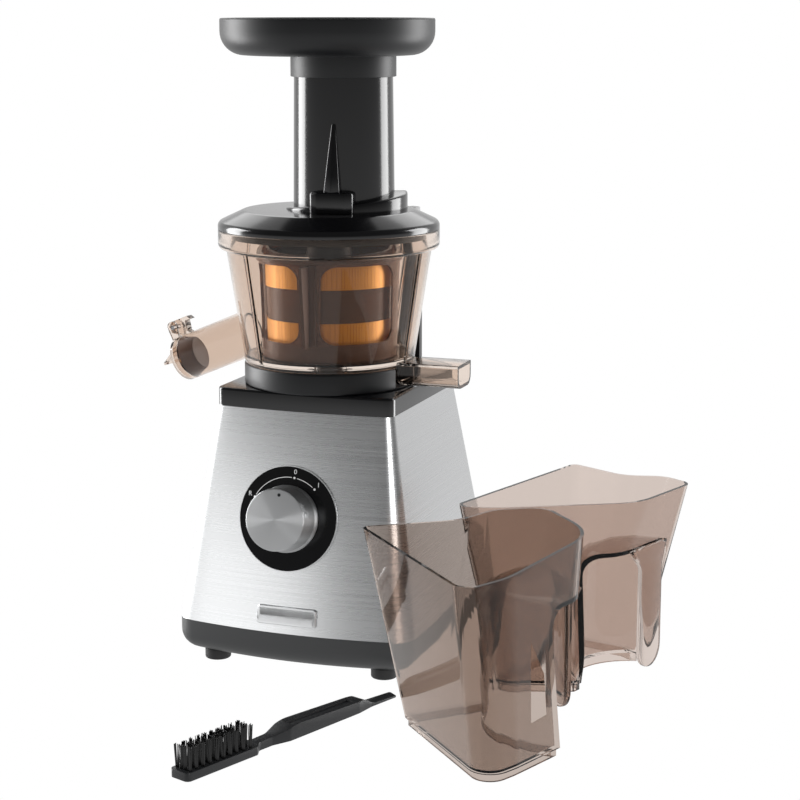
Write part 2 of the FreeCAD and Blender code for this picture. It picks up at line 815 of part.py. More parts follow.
def drive_shaft():
    low = CHASSIS_Z - SHAFT_FOOT
    collar_low = gear_low_z() - SHAFT_COLLAR_H
    hex_low = FLOOR_Z
    shaft = cylinder(SHAFT_R, low, hex_low)
    collar = cylinder(SHAFT_COLLAR_R, collar_low, collar_low + SHAFT_COLLAR_H)
    across = HEX_FLATS / math.sqrt(3)
    corners = [polar(across, 60 * i, hex_low) for i in range(7)]
    head = Part.Face(Part.makePolygon(corners)).extrude(vec(0, 0, HEX_H))
    return fused([shaft, collar, head])


def bushing(low, high, lip_low):
    sleeve = cylinder(BUSH_R, low, high)
    lip = cylinder(BUSH_LIP_R, lip_low, lip_low + BUSH_LIP)
    return fused([sleeve, lip]).cut(cylinder(SHAFT_R + RUNNING, low - 1, high + BUSH_LIP + 1))


def lower_bearing():
    top = CHASSIS_Z + CHASSIS_T
    return bushing(CHASSIS_Z - SHAFT_FOOT, top, top)


def upper_bearing():
    low = BODY_TOP_Z - CAP_WALL - BUSH_LIP
    return bushing(low, CAP_TOP_Z, low)


def wall_r(z):
    """Outer radius of the bowl wall at height z."""
    return between(BOWL_LOW_R, BOWL_TOP_R, (z - SEAT_TOP_Z) / BOWL_WALL_H)


def pulp_section(grow):
    """Outline of the pulp channel as corners (y, z, radius), shrunk or grown."""
    half = PULP_W / 2 + grow
    low = SEAT_TOP_Z - PULP_DROP - grow
    corner = PULP_CORNER + grow
    return [
        (PULP_Y - half, low, corner), (PULP_Y + half, low, corner),
        (PULP_Y + half, low + PULP_H + 2 * grow, 0.8), (PULP_Y - half, low + PULP_H + 2 * grow, 0.8),
    ]


def side_point(a, b):
    return vec(0, a, b)


def pulp_bar(x0, x1, grow):
    face = Part.Face(outline(pulp_section(grow), side_point))
    face.translate(vec(x0, 0, 0))
    return face.extrude(vec(x1 - x0, 0, 0))


def juice_placed(shape):
    """Move a shape from the juice spout's frame, +Z out of its mouth and +X up, to its place."""
    placed = shape.copy()
    placed.rotate(vec(0, 0), vec(0, 1, 0), -90 - JUICE_DIP)
    placed.rotate(vec(0, 0), UP, -JUICE_TURN)
    placed.translate(vec(*JUICE_MOUTH))
    return placed


def bowl():
    inner_top = wall_r(FLANGE_Z) - BOWL_WALL
    shell = revolved([
        (HUB_BORE_R, FLOOR_LOW_Z - HUB_DOWN, 0), (HUB_R, FLOOR_LOW_Z - HUB_DOWN, 0),
        (HUB_R, FLOOR_LOW_Z, 0), (SPIGOT_R - SPIGOT_WALL, FLOOR_LOW_Z, 0),
        (SPIGOT_R - SPIGOT_WALL, FLOOR_LOW_Z - SPIGOT_H, 0), (SPIGOT_R, FLOOR_LOW_Z - SPIGOT_H, 0),
        (SPIGOT_R, FLOOR_LOW_Z, 0), (BOWL_LOW_R - BOWL_WALL, FLOOR_LOW_Z, 0),
        (BOWL_LOW_R - BOWL_WALL, SEAT_TOP_Z, 0), (BOWL_LOW_R, SEAT_TOP_Z, 0),
        (wall_r(FLANGE_Z), FLANGE_Z, 0), (FLANGE_R, FLANGE_Z, FLANGE_EDGE),
        (FLANGE_R, BOWL_TOP_Z, 0.6), (inner_top, BOWL_TOP_Z, 0.6),
        (inner_top, FLANGE_Z, 0), (wall_r(FLOOR_Z) - BOWL_WALL, FLOOR_Z, 1.5),
        (HUB_R, FLOOR_Z, 0), (HUB_R, FLOOR_Z + HUB_UP, 0), (HUB_BORE_R, FLOOR_Z + HUB_UP, 0),
    ])
    inside = cone(wall_r(CAP_TOP_Z) - BOWL_WALL, inner_top, CAP_TOP_Z, FLANGE_Z)
    outside = cone(wall_r(CAP_TOP_Z), wall_r(FLANGE_Z), CAP_TOP_Z, FLANGE_Z)
    ribs = []
    for angle in RIB_ANGLES:
        low_r = wall_r(SEAT_TOP_Z + 3) - 1
        top_r = wall_r(FLANGE_Z) - 1
        rib = slab(sharp([
            (low_r, SEAT_TOP_Z + 3), (low_r + 1 + RIB_PROUD, SEAT_TOP_Z + 3 + RIB_PROUD),
            (top_r + 1 + RIB_PROUD, FLANGE_Z + 1), (top_r, FLANGE_Z + 1),
        ]), -RIB_W / 2, RIB_W / 2)
        ribs.append(turned(rib, angle))
    clear = cylinder(SEAT_R + SLIDING, CAP_TOP_Z, SEAT_TOP_Z + SEATED)
    spout = juice_placed(cylinder(JUICE_R, -JUICE_L, 0)).cut(inside).cut(clear)
    up, out = FLIP_PIVOT_UP, FLIP_PIVOT_OUT
    lug = juice_placed(slab(sharp([
        (JUICE_R - 1, -9), (JUICE_R - 1, -1.5), (up - 3, out + 3), (up + 1.5, out + 3.5), (up + FLIP_EAR_R, out),
        (up + FLIP_EAR_R, -9), (up + 1.5, -11), (up + 1.5, -6.5), (JUICE_R + 1.5, -5.5),
    ]), -FLIP_EAR_W / 2, FLIP_EAR_W / 2))
    under_floor = pulp_bar(LEG_IN - PULP_WALL - SEATED, SPIGOT_R, 0)
    under_floor = under_floor.common(box(0, FLANGE_R, -FLANGE_R, FLANGE_R, 0, FLOOR_Z))
    past_wall = pulp_bar(SPIGOT_R - 1, PULP_END_X, 0).cut(inside)
    under_wall = pulp_bar(SPIGOT_R - 1, BOWL_LOW_R, 0).common(box(0, FLANGE_R, -FLANGE_R, FLANGE_R, 0, FLOOR_Z))
    pins = [
        cylinder(IDLER_PIN_R, FLOOR_Z - 1, FLOOR_Z + RING_GEAR_H + SEATED, 0, y) for y in (-idler_y(), idler_y())
    ]
    body = fused([shell, spout, lug, under_floor, past_wall, under_wall] + ribs + pins)
    bore = juice_placed(cylinder(JUICE_R - JUICE_WALL, -JUICE_L - 9, 1))
    body = body.cut(bore.cut(outside)).cut(bore.common(box(-FLANGE_R, 0, -FLANGE_R, FLANGE_R, FLOOR_Z, FLANGE_Z)))
    roof = FLOOR_LOW_Z
    passage = pulp_bar(LEG_IN - SEATED, SPIGOT_R + 1, -PULP_WALL).common(box(0, FLANGE_R, -FLANGE_R, FLANGE_R, 0, roof))
    run_out = pulp_bar(BOWL_LOW_R - BOWL_WALL, PULP_END_X + 1, -PULP_WALL)
    link = pulp_bar(SPIGOT_R - 1, BOWL_LOW_R, -PULP_WALL).common(box(0, FLANGE_R, -FLANGE_R, FLANGE_R, 0, roof))
    body = body.cut(passage).cut(run_out.cut(inside)).cut(link)
    gap = SEATED
    hole = box(LEG_IN - gap, LEG_OUT + gap, -LEG_W / 2 - gap, LEG_W / 2 + gap, roof - 1, FLOOR_Z + 1)
    body = body.cut(hole)
    pivot = Part.makeCylinder(FLIP_PIN_R + PRESSED, 60, vec(FLIP_PIVOT_UP, -30, FLIP_PIVOT_OUT), vec(0, 1, 0))
    return body.cut(juice_placed(pivot))


def shaft_seal():
    """The soft seal in the bowl's hub round the drive shaft."""
    low = FLOOR_LOW_Z - HUB_DOWN
    return tube(HUB_BORE_R - PRESSED, SHAFT_R + SEATED, low, FLOOR_Z - 0.5)


def spout_cap():
    rim = cylinder(JUICE_R, SEATED, FLIP_RIM)
    room = cylinder(JUICE_R - FLIP_WALL, 0, FLIP_RIM - FLIP_FACE)
    cup = rim.cut(room)
    up, out = FLIP_PIVOT_UP, FLIP_PIVOT_OUT
    cheeks = []
    for side in (-1, 1):
        inner = side * (FLIP_EAR_W / 2 + SEATED)
        outer = inner + side * FLIP_CHEEK
        eye = Part.makeCylinder(FLIP_EAR_R, FLIP_CHEEK, vec(up, min(inner, outer), out), vec(0, 1, 0))
        web = slab(sharp([
            (JUICE_R - 2.5, FLIP_RIM), (JUICE_R - 2.5, 1.2), (up, out - FLIP_EAR_R), (up, out + FLIP_EAR_R),
        ]), min(inner, outer), max(inner, outer))
        cheeks += [eye, web]
    stem = cylinder(PLUG_STEM_R, SEATED, FLIP_RIM - 1)
    face = FLIP_RIM
    tab = slab(sharp([
        (10, face - 0.5), (2, face + 14.5), (0.4, face + 14.5), (-0.6, face + 5), (-0.6, face - 0.5),
        (1, face - 0.5), (1.2, face + 4), (2.2, face + 10.5), (8, face - 0.5),
    ]), -FLIP_TAB_W / 2, FLIP_TAB_W / 2)
    whole = fused([cup, stem, tab] + cheeks)
    pivot = Part.makeCylinder(FLIP_PIN_R + RUNNING, 60, vec(FLIP_PIVOT_UP, -30, FLIP_PIVOT_OUT), vec(0, 1, 0))
    return juice_placed(whole.cut(pivot))


def spout_plug():
    """The soft plug on the flip cap; its taper lets it swing out of the spout."""
    flange = cylinder(PLUG_R, SEATED, SEATED + 2)
    cork = Part.makeCone(PLUG_TIP_R, PLUG_R, PLUG_L, vec(0, 0, -PLUG_L + SEATED))
    return juice_placed(fused([flange, cork]).cut(cylinder(PLUG_STEM_R + PRESSED, SEATED, SEATED + 3)))


def spout_pin():
    half = FLIP_EAR_W / 2 + SEATED + FLIP_CHEEK
    pin = Part.makeCylinder(FLIP_PIN_R, 2 * half, vec(FLIP_PIVOT_UP, -half, FLIP_PIVOT_OUT), vec(0, 1, 0))
    return juice_placed(pin)


def strainer_r(z):
    share = (z - FLOOR_Z) / (STRAINER_TOP_Z - FLOOR_Z)
    return between(STRAINER_LOW_R, STRAINER_TOP_R, share)


def plate_z():
    return FLOOR_Z + SEATED + RING_GEAR_H + SLIDING


def strainer_frame():
    low = plate_z()
    inner = strainer_r(low) - STRAINER_WALL
    corners = [(STRAINER_HOLE_R, low), (strainer_r(low), low)]
    for band in (SCREEN_LOWER, SCREEN_UPPER):
        for z, first in ((band[0], True), (band[1], False)):
            proud = (strainer_r(z), z)
            recess = (strainer_r(z) - SCREEN_T - PRESSED, z)
            corners += [proud, recess] if first else [recess, proud]
    top_in = strainer_r(STRAINER_TOP_Z) - STRAINER_WALL
    corners += [
        (strainer_r(STRAINER_TOP_Z), STRAINER_TOP_Z), (top_in, STRAINER_TOP_Z),
        (inner, low + STRAINER_PLATE), (STRAINER_HOLE_R, low + STRAINER_PLATE),
    ]
    body = revolved(sharp(corners))
    windows = []
    for band in (SCREEN_LOWER, SCREEN_UPPER):
        low_w, high_w = band[0] + 1.5, band[1] - 1.5
        half = math.radians(180.0 / WINDOW_COUNT)
        wide = (STRAINER_LOW_R - STRAINER_WALL) * math.sin(half) - WINDOW_RIB / 2
        for i in range(WINDOW_COUNT):
            window = box(STRAINER_LOW_R / 2, STRAINER_TOP_R + 9, -wide, wide, low_w, high_w)
            windows.append(turned(window, 360.0 * i / WINDOW_COUNT))
    body = body.cut(Part.makeCompound(windows))
    duct = box(LEG_IN, LEG_OUT, -LEG_W / 2, LEG_W / 2, FLOOR_LOW_Z + 0.4, low + 0.5)
    leg = box(-LEG_OUT, -LEG_IN, -LEG_W / 3, LEG_W / 3, FLOOR_Z, low + 0.5)
    w = LEG_WALL
    throat = box(LEG_IN + w, LEG_OUT - w, w - LEG_W / 2, LEG_W / 2 - w, 0, low + STRAINER_PLATE + 1)
    return fused([body, duct, leg]).cut(throat)


def screen(band):
    """A fine screen wrapped round the strainer's windows, with a row of upright slots."""
    low, high = band
    gap = PRESSED
    ring = revolved(sharp([
        (strainer_r(low) - SCREEN_T, low + gap), (strainer_r(low), low + gap),
        (strainer_r(high), high - gap), (strainer_r(high) - SCREEN_T, high - gap),
    ]))
    slots = []
    for i in range(SLOT_COUNT // 2):
        slot = box(-STRAINER_TOP_R - 9, STRAINER_TOP_R + 9, -SLOT_W / 2, SLOT_W / 2, low + 2, high - 2)
        slots.append(turned(slot, 360.0 * i / SLOT_COUNT))
    return ring.cut(Part.makeCompound(slots))


def wiper_in_r(z):
    return strainer_r(z) + WIPER_GAP


def wiper_frame():
    """The turning frame round the strainer, driven by the ring gear at its foot."""
    low = FLOOR_Z + SEATED
    gear_top = low + RING_GEAR_H
    top = WIPER_TOP_Z
    rim_low = top - WIPER_RIM_H
    foot_r, brim_r = wiper_in_r(low) + WIPER_WALL, wiper_in_r(rim_low) + WIPER_WALL
    root_r = RING_MODULE * (RING_TEETH / 2 + TOOTH_ROOT)
    shell = revolved(sharp([
        (root_r - 0.5, low), (foot_r, low), (brim_r, rim_low), (brim_r + WIPER_RIM, rim_low),
        (brim_r + WIPER_RIM, top), (wiper_in_r(top), top), (wiper_in_r(gear_top), gear_top),
        (root_r - 0.5, gear_top),
    ]))
    teeth = cylinder(root_r + 0.2, low, gear_top)
    space = gear(RING_TEETH, RING_MODULE, low - 1, gear_top + 1, 90, TOOTH_ROOT, TOOTH_TIP, -BACKLASH_DEG)
    body = fused([shell.cut(cylinder(root_r + 0.2, low - 1, gear_top)), teeth.cut(space)])
    spread = 360.0 / WIPER_POSTS
    post_half = WIPER_POST_W / 2 / wiper_in_r(top)
    wide = wiper_in_r(top) * math.sin(math.radians(spread / 2) - post_half)
    r = WIPER_WINDOW_CORNER
    low_w, top_w = WIPER_WINDOW_LOW_Z, WIPER_WINDOW_TOP_Z
    face = Part.Face(outline([(-wide, low_w, r), (wide, low_w, r), (wide, top_w, r), (-wide, top_w, r)], side_point))
    face.translate(vec(wiper_in_r(low) - 16, 0, 0))
    window = face.extrude(vec(40, 0, 0))
    windows = [turned(window, WIPER_FIRST_ANGLE + spread * (i + 0.5)) for i in range(WIPER_POSTS)]
    return body.cut(Part.makeCompound(windows))


def wiper_blades():
    """Soft blades on opposite posts of the frame that sweep the wall of the bowl."""
    low, top = WIPER_WINDOW_LOW_Z - 1, WIPER_WINDOW_TOP_Z + 0.5
    core = cone(wiper_in_r(low - 5) + WIPER_WALL + PRESSED, wiper_in_r(top + 5) + WIPER_WALL + PRESSED, low - 5, top + 5)
    near = wiper_in_r(low)
    pad = box(near, near + WIPER_WALL + BLADE_PAD_T, -BLADE_PAD_W / 2, BLADE_PAD_W / 2, low, top)
    reach = -BOWL_WALL - SLIDING
    fin = slab(sharp([
        (near, low), (wall_r(low) + reach, low), (wall_r(top) + reach, top), (near, top),
    ]), -BLADE_T / 2, BLADE_T / 2)
    blade = fused([pad, fin]).cut(core)
    blades = [turned(blade, WIPER_FIRST_ANGLE + 360.0 * i / BLADE_COUNT) for i in range(BLADE_COUNT)]
    return Part.makeCompound(blades)


def idler_y():
    return RING_MODULE * (SUN_TEETH + IDLER_TEETH) / 2


def idler_gear(side):
    low = FLOOR_Z + SEATED
    wheel = gear(IDLER_TEETH, RING_MODULE, low, low + RING_GEAR_H - SEATED, -90 * side)
    wheel = wheel.cut(cylinder(IDLER_PIN_R + RUNNING, low - 1, low + RING_GEAR_H + 1))
    wheel.translate(vec(0, side * idler_y()))
    return wheel


def auger_section(z, turn, core_r):
    """One level of the screw: a round core with a single swept-back flight."""
    ramp = (FLIGHT_ROOT_DEG - FLIGHT_TIP_DEG) / 2
    tip, root = FLIGHT_TIP_DEG / 2, FLIGHT_TIP_DEG / 2 + ramp
    spots = [(AUGER_R, -tip), (AUGER_R, 0), (AUGER_R, tip), (core_r, root)]
    rest = 360 - 2 * root
    sides = AUGER_CORE_SIDES
    spots += [(core_r, root + rest * (i + 1) / sides) for i in range(sides)]
    return [polar(radius, turn + angle, z) for radius, angle in spots]


def auger():
    foot = plate_z() + STRAINER_PLATE + SLIDING
    rise = AUGER_TOP_Z - foot
    steps = int(round(AUGER_TURNS * 360 / AUGER_STEP_DEG))
    rings = []
    for i in range(steps + 1):
        share = i / steps
        core_r = between(AUGER_LOW_R, AUGER_TOP_R, share ** 0.9)
        rings.append(auger_section(foot + rise * share, -AUGER_STEP_DEG * i, core_r))
    screw = skinned(rings)
    neck = cylinder(AUGER_NECK_R, FLOOR_Z + SEATED + RING_GEAR_H, foot)
    sun_low = FLOOR_Z + SEATED
    sun = gear(SUN_TEETH, RING_MODULE, sun_low, sun_low + RING_GEAR_H, 0)
    pin = cylinder(AUGER_PIN_R, AUGER_TOP_Z, LID_TOP_Z - LID_WALL)
    whole = fused([screw, neck, sun, pin])
    socket = cylinder(HUB_R + SEATED, sun_low - 1, FLOOR_Z + HUB_UP + SEATED)
    well = cylinder(SOCKET_R + PRESSED, sun_low, FLOOR_Z + HEX_H + SOCKET_ROOF)
    return whole.cut(socket).cut(well)


def auger_socket():
    """The metal insert in the auger that takes the six-sided end of the drive shaft."""
    low = FLOOR_Z + HUB_UP + SEATED
    top = FLOOR_Z + HEX_H + SOCKET_ROOF
    across = HEX_FLATS / math.sqrt(3) + 0.2
    corners = [polar(across, 60 * i, low - 1) for i in range(7)]
    hexagon = Part.Face(Part.makePolygon(corners)).extrude(vec(0, 0, HEX_H - HUB_UP + 1.5))
    return cylinder(SOCKET_R, low, top).cut(hexagon)


def chute_r(z):
    return between(CHUTE_LOW_R, CHUTE_TOP_R, (z - LID_TOP_Z) / CHUTE_H)


def lid():
    rim_top = BOWL_TOP_Z + LID_RIM_H
    lip_r = wall_r(FLANGE_Z) - BOWL_WALL - SEATED
    under = LID_TOP_Z - LID_WALL
    shell = revolved([
        (0, under, 0), (LID_FLAT_R - 1, under, 0), (lip_r - LID_LIP_WALL, rim_top + 1.5, 0),
        (lip_r - LID_LIP_WALL, BOWL_TOP_Z - LID_LIP_H, 0), (lip_r, BOWL_TOP_Z - LID_LIP_H, 0.6),
        (lip_r, BOWL_TOP_Z, 0), (FLANGE_R, BOWL_TOP_Z, 0.6), (FLANGE_R, rim_top, 4.5),
        (LID_FLAT_R, LID_TOP_Z, 5), (0, LID_TOP_Z, 0),
    ])
    x, y = CHUTE_X, CHUTE_Y
    chute = cone(CHUTE_LOW_R, CHUTE_TOP_R, LID_TOP_Z, CHUTE_TOP_Z, x, y)
    ramps = [ramp_section(angle) for angle in ramp_angles()]
    ramp = lofted(ramps)
    keeper_r = CHUTE_LOW_R + KEEPER_OUT
    half = KEEPER_W / 2
    keeper = prism([
        (CHUTE_LOW_R - 8, -half, 0), (keeper_r, -half, KEEPER_CORNER),
        (keeper_r, half, KEEPER_CORNER), (CHUTE_LOW_R - 8, half, 0),
    ], LID_TOP_Z - 1, LID_TOP_Z + KEEPER_H)
    top_edges = [e for e in keeper.Edges if e.BoundBox.ZMin > LID_TOP_Z + KEEPER_H - 0.01
                 and e.BoundBox.XMax > CHUTE_LOW_R]
    keeper = keeper.makeChamfer(2, top_edges)
    fin = slab(sharp([
        (CHUTE_LOW_R - 2, LID_TOP_Z + KEEPER_H - 2), (CHUTE_LOW_R + FIN_OUT - 3, LID_TOP_Z + KEEPER_H - 2),
        (chute_r(LID_TOP_Z + FIN_TOP), LID_TOP_Z + FIN_TOP), (CHUTE_LOW_R - 2.5, LID_TOP_Z + FIN_TOP),
    ]), -FIN_T / 2, FIN_T / 2)
    front = []
    for piece in (keeper, fin):
        placed = turned(piece, FIN_ANGLE)
        placed.translate(vec(x, y))
        front.append(placed)
    tab_low = rim_top
    tab = box(FLANGE_R - 6, FLANGE_R + LID_TAB_OUT, -LID_TAB_W / 2, LID_TAB_W / 2, tab_low, tab_low + LID_TAB_T)
    whole = fused([shell, chute, ramp, turned(tab, LID_TAB_ANGLE)] + front)
    whole = whole.cut(cylinder(CHUTE_BORE_R, BOWL_TOP_Z, CHUTE_TOP_Z + 1, x, y))
    boss = cylinder(BOSS_R, AUGER_TOP_Z + SEATED + BOSS_UP, under + LID_WALL)
    arm_turn = math.degrees(math.atan2(-y, -x))
    arm_reach = CHUTE_BORE_R - math.hypot(x, y) + 4
    arm = turned(box(0, arm_reach, -ARM_W / 2, ARM_W / 2, under - ARM_H, under + 0.5), arm_turn)
    whole = fused([whole, boss, arm])
    return whole.cut(cylinder(AUGER_PIN_R + RUNNING, BOWL_TOP_Z - 10, under + 0.6))


def ramp_angles():
    count = int(round((RAMP_TO - RAMP_FROM) / RAMP_STEP))
    return [between(RAMP_FROM, RAMP_TO, i / count) for i in range(count + 1)]


def ramp_section(angle):
    """One radial section of the rising ramp round the foot of the chute."""
    share = (angle - RAMP_FROM) / (RAMP_TO - RAMP_FROM)
    rise = between(RAMP_LOW, RAMP_H, share)
    out = between(CHUTE_LOW_R + 5, RAMP_R, min(1.0, share * 2.5))
    low = LID_TOP_Z - 1
    spots = [
        (CHUTE_BORE_R + 1.5, low), (out, low), (out, LID_TOP_Z + rise * 0.7),
        (out - 2.2, LID_TOP_Z + rise), (CHUTE_BORE_R + 1.5, LID_TOP_Z + rise),
    ]
    points = [polar(radius, angle, z) + vec(CHUTE_X, CHUTE_Y) for radius, z in spots]
    return Part.makePolygon(points + points[:1])


def hopper_tray():
    low, top, wall = CHUTE_TOP_Z, TRAY_TOP_Z, TRAY_WALL
    dish = revolved([
        (0, low, 0), (TRAY_R, low, TRAY_EDGE_R), (TRAY_R, top, 0.8), (TRAY_R - wall, top, 0.8),
        (TRAY_R - wall, low + wall, TRAY_EDGE_R - wall), (0, low + wall, 0),
    ])
    collar = cylinder(COLLAR_R, low - COLLAR_H, low + wall / 2, CHUTE_X, CHUTE_Y)
    fit_r = chute_r(CHUTE_TOP_Z - COLLAR_H) + SEATED
    socket = cylinder(fit_r, low - COLLAR_H - 1, low, CHUTE_X, CHUTE_Y)
    whole = fused([dish, collar]).cut(socket)
    return whole.cut(cylinder(CHUTE_BORE_R, low - 1, top, CHUTE_X, CHUTE_Y))


def inset_corners(corners, amount):
    """Move every side of an anticlockwise or clockwise outline inward by the same amount."""
    spots = [vec(u, v) for u, v, _ in corners]
    area = sum(a.x * b.y - b.x * a.y for a, b in zip(spots, spots[1:] + spots[:1]))
    sense = 1 if area > 0 else -1
    moved = []
    for i, (_, _, radius) in enumerate(corners):
        here = spots[i]
        arrive = (here - spots[i - 1]).normalize()
        leave = (spots[(i + 1) % len(spots)] - here).normalize()
        normal_a = vec(-arrive.y, arrive.x) * sense
        normal_b = vec(-leave.y, leave.x) * sense
        middle = (normal_a + normal_b).normalize()
        spot = here + middle * (amount / middle.dot(normal_a))
        turn = (arrive.x * leave.y - arrive.y * leave.x) * sense
        moved.append((spot.x, spot.y, max(radius - amount, 0.8) if turn > 0 else radius + amount))
    return moved


def jug_wire(depth, share, inset):
    """Outline of a jug at a share of its height, moved inward; depth scales it front to nose."""
    corners = []
    for (u0, v0, r0), (u1, v1, r1) in zip(JUG_BASE, JUG_RIM):
        corner = (between(u0, u1, share), between(v0, v1, share), between(r0, r1, share))
        corners.append((corner[0] * depth, corner[1], corner[2] * depth))
    wire = outline(inset_corners(corners, inset), flat_point)
    wire.translate(vec(0, 0, between(JUG_FOOT_H, JUG_H, share)))
    return wire


def jug_pocket(depth, grow):
    """The space under the nose for the fingers, with a sloped edge to its roof."""
    radius = JUG_POCKET_R * depth + grow
    top = JUG_POCKET_H + grow
    block = cylinder(radius, -1, top, JUG_POCKET_U * depth, JUG_POCKET_V)
    roof_edges = [e for e in block.Edges if e.BoundBox.ZMin > top - 0.01]
    return block.makeChamfer(JUG_POCKET_EDGE + grow * 0.6, roof_edges)


def jug_grip(depth):
    """The strip that hangs from the nose for the fingers to close on."""
    half, flare, low = GRIP_W / 2, GRIP_FLARE, GRIP_LOW_Z
    top = JUG_POCKET_H + JUG_WALL
    bend = JUG_POCKET_H - flare
    face = Part.Face(outline([
        (GRIP_V - half, low, half - 0.1), (GRIP_V + half, low, half - 0.1), (GRIP_V + half, bend, 8),
        (GRIP_V + half + flare / 2, JUG_POCKET_H, 0), (GRIP_V + half + flare / 2, top, 0),
        (GRIP_V - half - flare, top, 0), (GRIP_V - half - flare, JUG_POCKET_H, 0), (GRIP_V - half, bend, 8),
    ], side_point))
    face.translate(vec(GRIP_U * depth, 0, 0))
    return face.extrude(vec(GRIP_T, 0, 0))


def jug(x, y, degrees, depth):
    outer = lofted([jug_wire(depth, 0, 0), jug_wire(depth, 1, 0)])
    foot_wires = [jug_wire(depth, 0, JUG_FOOT_INSET), jug_wire(depth, 0, JUG_FOOT_INSET)]
    foot_wires[1].translate(vec(0, 0, -JUG_FOOT_H))
    foot = lofted(foot_wires)
    body = fused([outer, foot]).cut(jug_pocket(depth, 0))
    floor_share = JUG_WALL / (JUG_H - JUG_FOOT_H)
    room = lofted([jug_wire(depth, floor_share, JUG_WALL), jug_wire(depth, 1.02, JUG_WALL)])
    under = [jug_wire(depth, 0, JUG_FOOT_INSET + JUG_WALL), jug_wire(depth, 0, JUG_FOOT_INSET + JUG_WALL)]
    under[1].translate(vec(0, 0, -JUG_FOOT_H - 1))
    pocket = jug_pocket(depth, JUG_WALL)
    body = body.cut(room.cut(pocket)).cut(lofted(under).cut(pocket))
    grip = jug_grip(depth).common(fused([outer, jug_pocket(depth, 0)]))
    whole = turned(fused([body, grip]), degrees)
    whole.translate(vec(x, y))
    return whole


def brush_placed(shape):
    placed = turned(shape, BRUSH_TURN)
    placed.translate(vec(BRUSH_X, BRUSH_Y))
    return placed


def brush_handle():
    """Head, waisted neck, grooved grip and flat scraper tip, along +X before it is placed."""
    neck_x = BRUSH_HEAD_L
    grip_x = neck_x + BRUSH_NECK_L
    tip_x = grip_x + BRUSH_GRIP_L
    end_x = tip_x + BRUSH_TIP_L
    hw, nw, gw, tw = BRUSH_HEAD_W / 2, BRUSH_NECK_W / 2, BRUSH_GRIP_W / 2, BRUSH_TIP_W / 2
    plan = [
        (0, -hw, 3), (neck_x, -hw, 2.5), (neck_x + 5, -nw, 4), (grip_x - 4, -nw, 5), (grip_x + 8, -gw, 9),
        (tip_x - 9, -gw * 0.92, 9), (tip_x + 4, -tw, 6), (end_x, -tw, 1), (end_x + 3, tw, 1),
        (tip_x + 4, tw, 6), (tip_x - 9, gw * 0.92, 9), (grip_x + 8, gw, 9), (grip_x - 4, nw, 5),
        (neck_x + 5, nw, 4), (neck_x, hw, 2.5), (0, hw, 3),
    ]
    head, grip, tip = BRUSH_HEAD_T, BRUSH_GRIP_T, BRUSH_TIP_T
    side = [
        (-1, 0, 0), (end_x + 4, 0, 0), (end_x + 4, tip * 0.4, 0), (tip_x + 6, tip, 8), (tip_x - 4, grip * 0.8, 8),
        (grip_x + 14, grip, 30), (grip_x - 2, head + 0.5, 12), (neck_x, head, 12), (-1, head, 0),
    ]
    body = prism(plan, -1, 20).common(slab(side, -20, 20))
    for i in range(GRIP_GROOVES):
        y = (i - (GRIP_GROOVES - 1) / 2) * gw * 0.55
        groove = slab([
            (grip_x + 10, grip - 2.4, 0), (tip_x - 12, grip - 2.9, 0), (tip_x - 12, 20, 0), (grip_x + 10, 20, 0),
        ], y - GRIP_GROOVE_W / 2, y + GRIP_GROOVE_W / 2)
        body = body.cut(groove)
    return brush_placed(body)


def brush_tufts():
    tufts = []
    pitch_x = (BRUSH_HEAD_L - 8) / (TUFT_COLUMNS - 1)
    pitch_y = (BRUSH_HEAD_W - 5) / (TUFT_ROWS - 1)
    for row in range(TUFT_ROWS):
        for column in range(TUFT_COLUMNS):
            x = 4 + column * pitch_x
            y = (row - (TUFT_ROWS - 1) / 2) * pitch_y
            ring = [polar(TUFT_R, 360.0 * i / TUFT_SIDES, BRUSH_HEAD_T) + vec(x, y) for i in range(TUFT_SIDES)]
            tuft = Part.Face(Part.makePolygon(ring + ring[:1])).extrude(vec(0, 0, TUFT_H))
            tufts.append(tuft)
    return brush_placed(Part.makeCompound(tufts))


def all_parts():
    parts = {
        "housing_shell": housing_shell(),
        "base_pan": base_pan(),
        "feet": feet(),
        "cord_gland": cord_gland(),
        "top_cap": top_cap(),
        "bowl_seat": bowl_seat(),
        "interlock_post": interlock_post(),
        "dial_plate": dial_plate(),
        "nameplate": nameplate(),
        "rotary_switch": rotary_switch(),
        "chassis_plate": chassis_plate(),
        "chassis_posts": chassis_posts(),
        "pan_screws": pan_screws(),
        "lower_bearing": lower_bearing(),
        "upper_bearing": upper_bearing(),
        "motor_case": motor_case(),
        "motor_shaft": motor_shaft(),
        "motor_rotor": motor_rotor(),
        "cooling_fan": cooling_fan(),
        "motor_pinion": motor_pinion(),
        "drive_shaft": drive_shaft(),
        "drive_gear": drive_gear(),
        "switch_knob": switch_knob(),
        "switch_spindle": switch_spindle(),
        "bowl": bowl(),
        "shaft_seal": shaft_seal(),
        "strainer_frame": strainer_frame(),
        "screen_lower": screen(SCREEN_LOWER),
        "screen_upper": screen(SCREEN_UPPER),
        "spout_cap": spout_cap(),
        "spout_plug": spout_plug(),
        "spout_pin": spout_pin(),
        "wiper_frame": wiper_frame(),
        "wiper_blades": wiper_blades(),
        "idler_gear_front": idler_gear(-1),
        "idler_gear_back": idler_gear(1),
        "auger": auger(),
        "auger_socket": auger_socket(),
        "lid": lid(),
        "hopper_tray": hopper_tray(),
        "brush_handle": brush_handle(),
        "brush_tufts": brush_tufts(),
    }
    for name, x, y, degrees, depth in JUG_PLACES:
        parts[name] = jug(x, y, degrees, depth)
    return parts


def main():
    os.makedirs("parts", exist_ok=True)
    for name, shape in all_parts().items():
        print(name, "solids", len(shape.Solids), "volume", round(shape.Volume), "valid", shape.isValid())
        shape.exportStep("parts/" + name + ".step")


main()
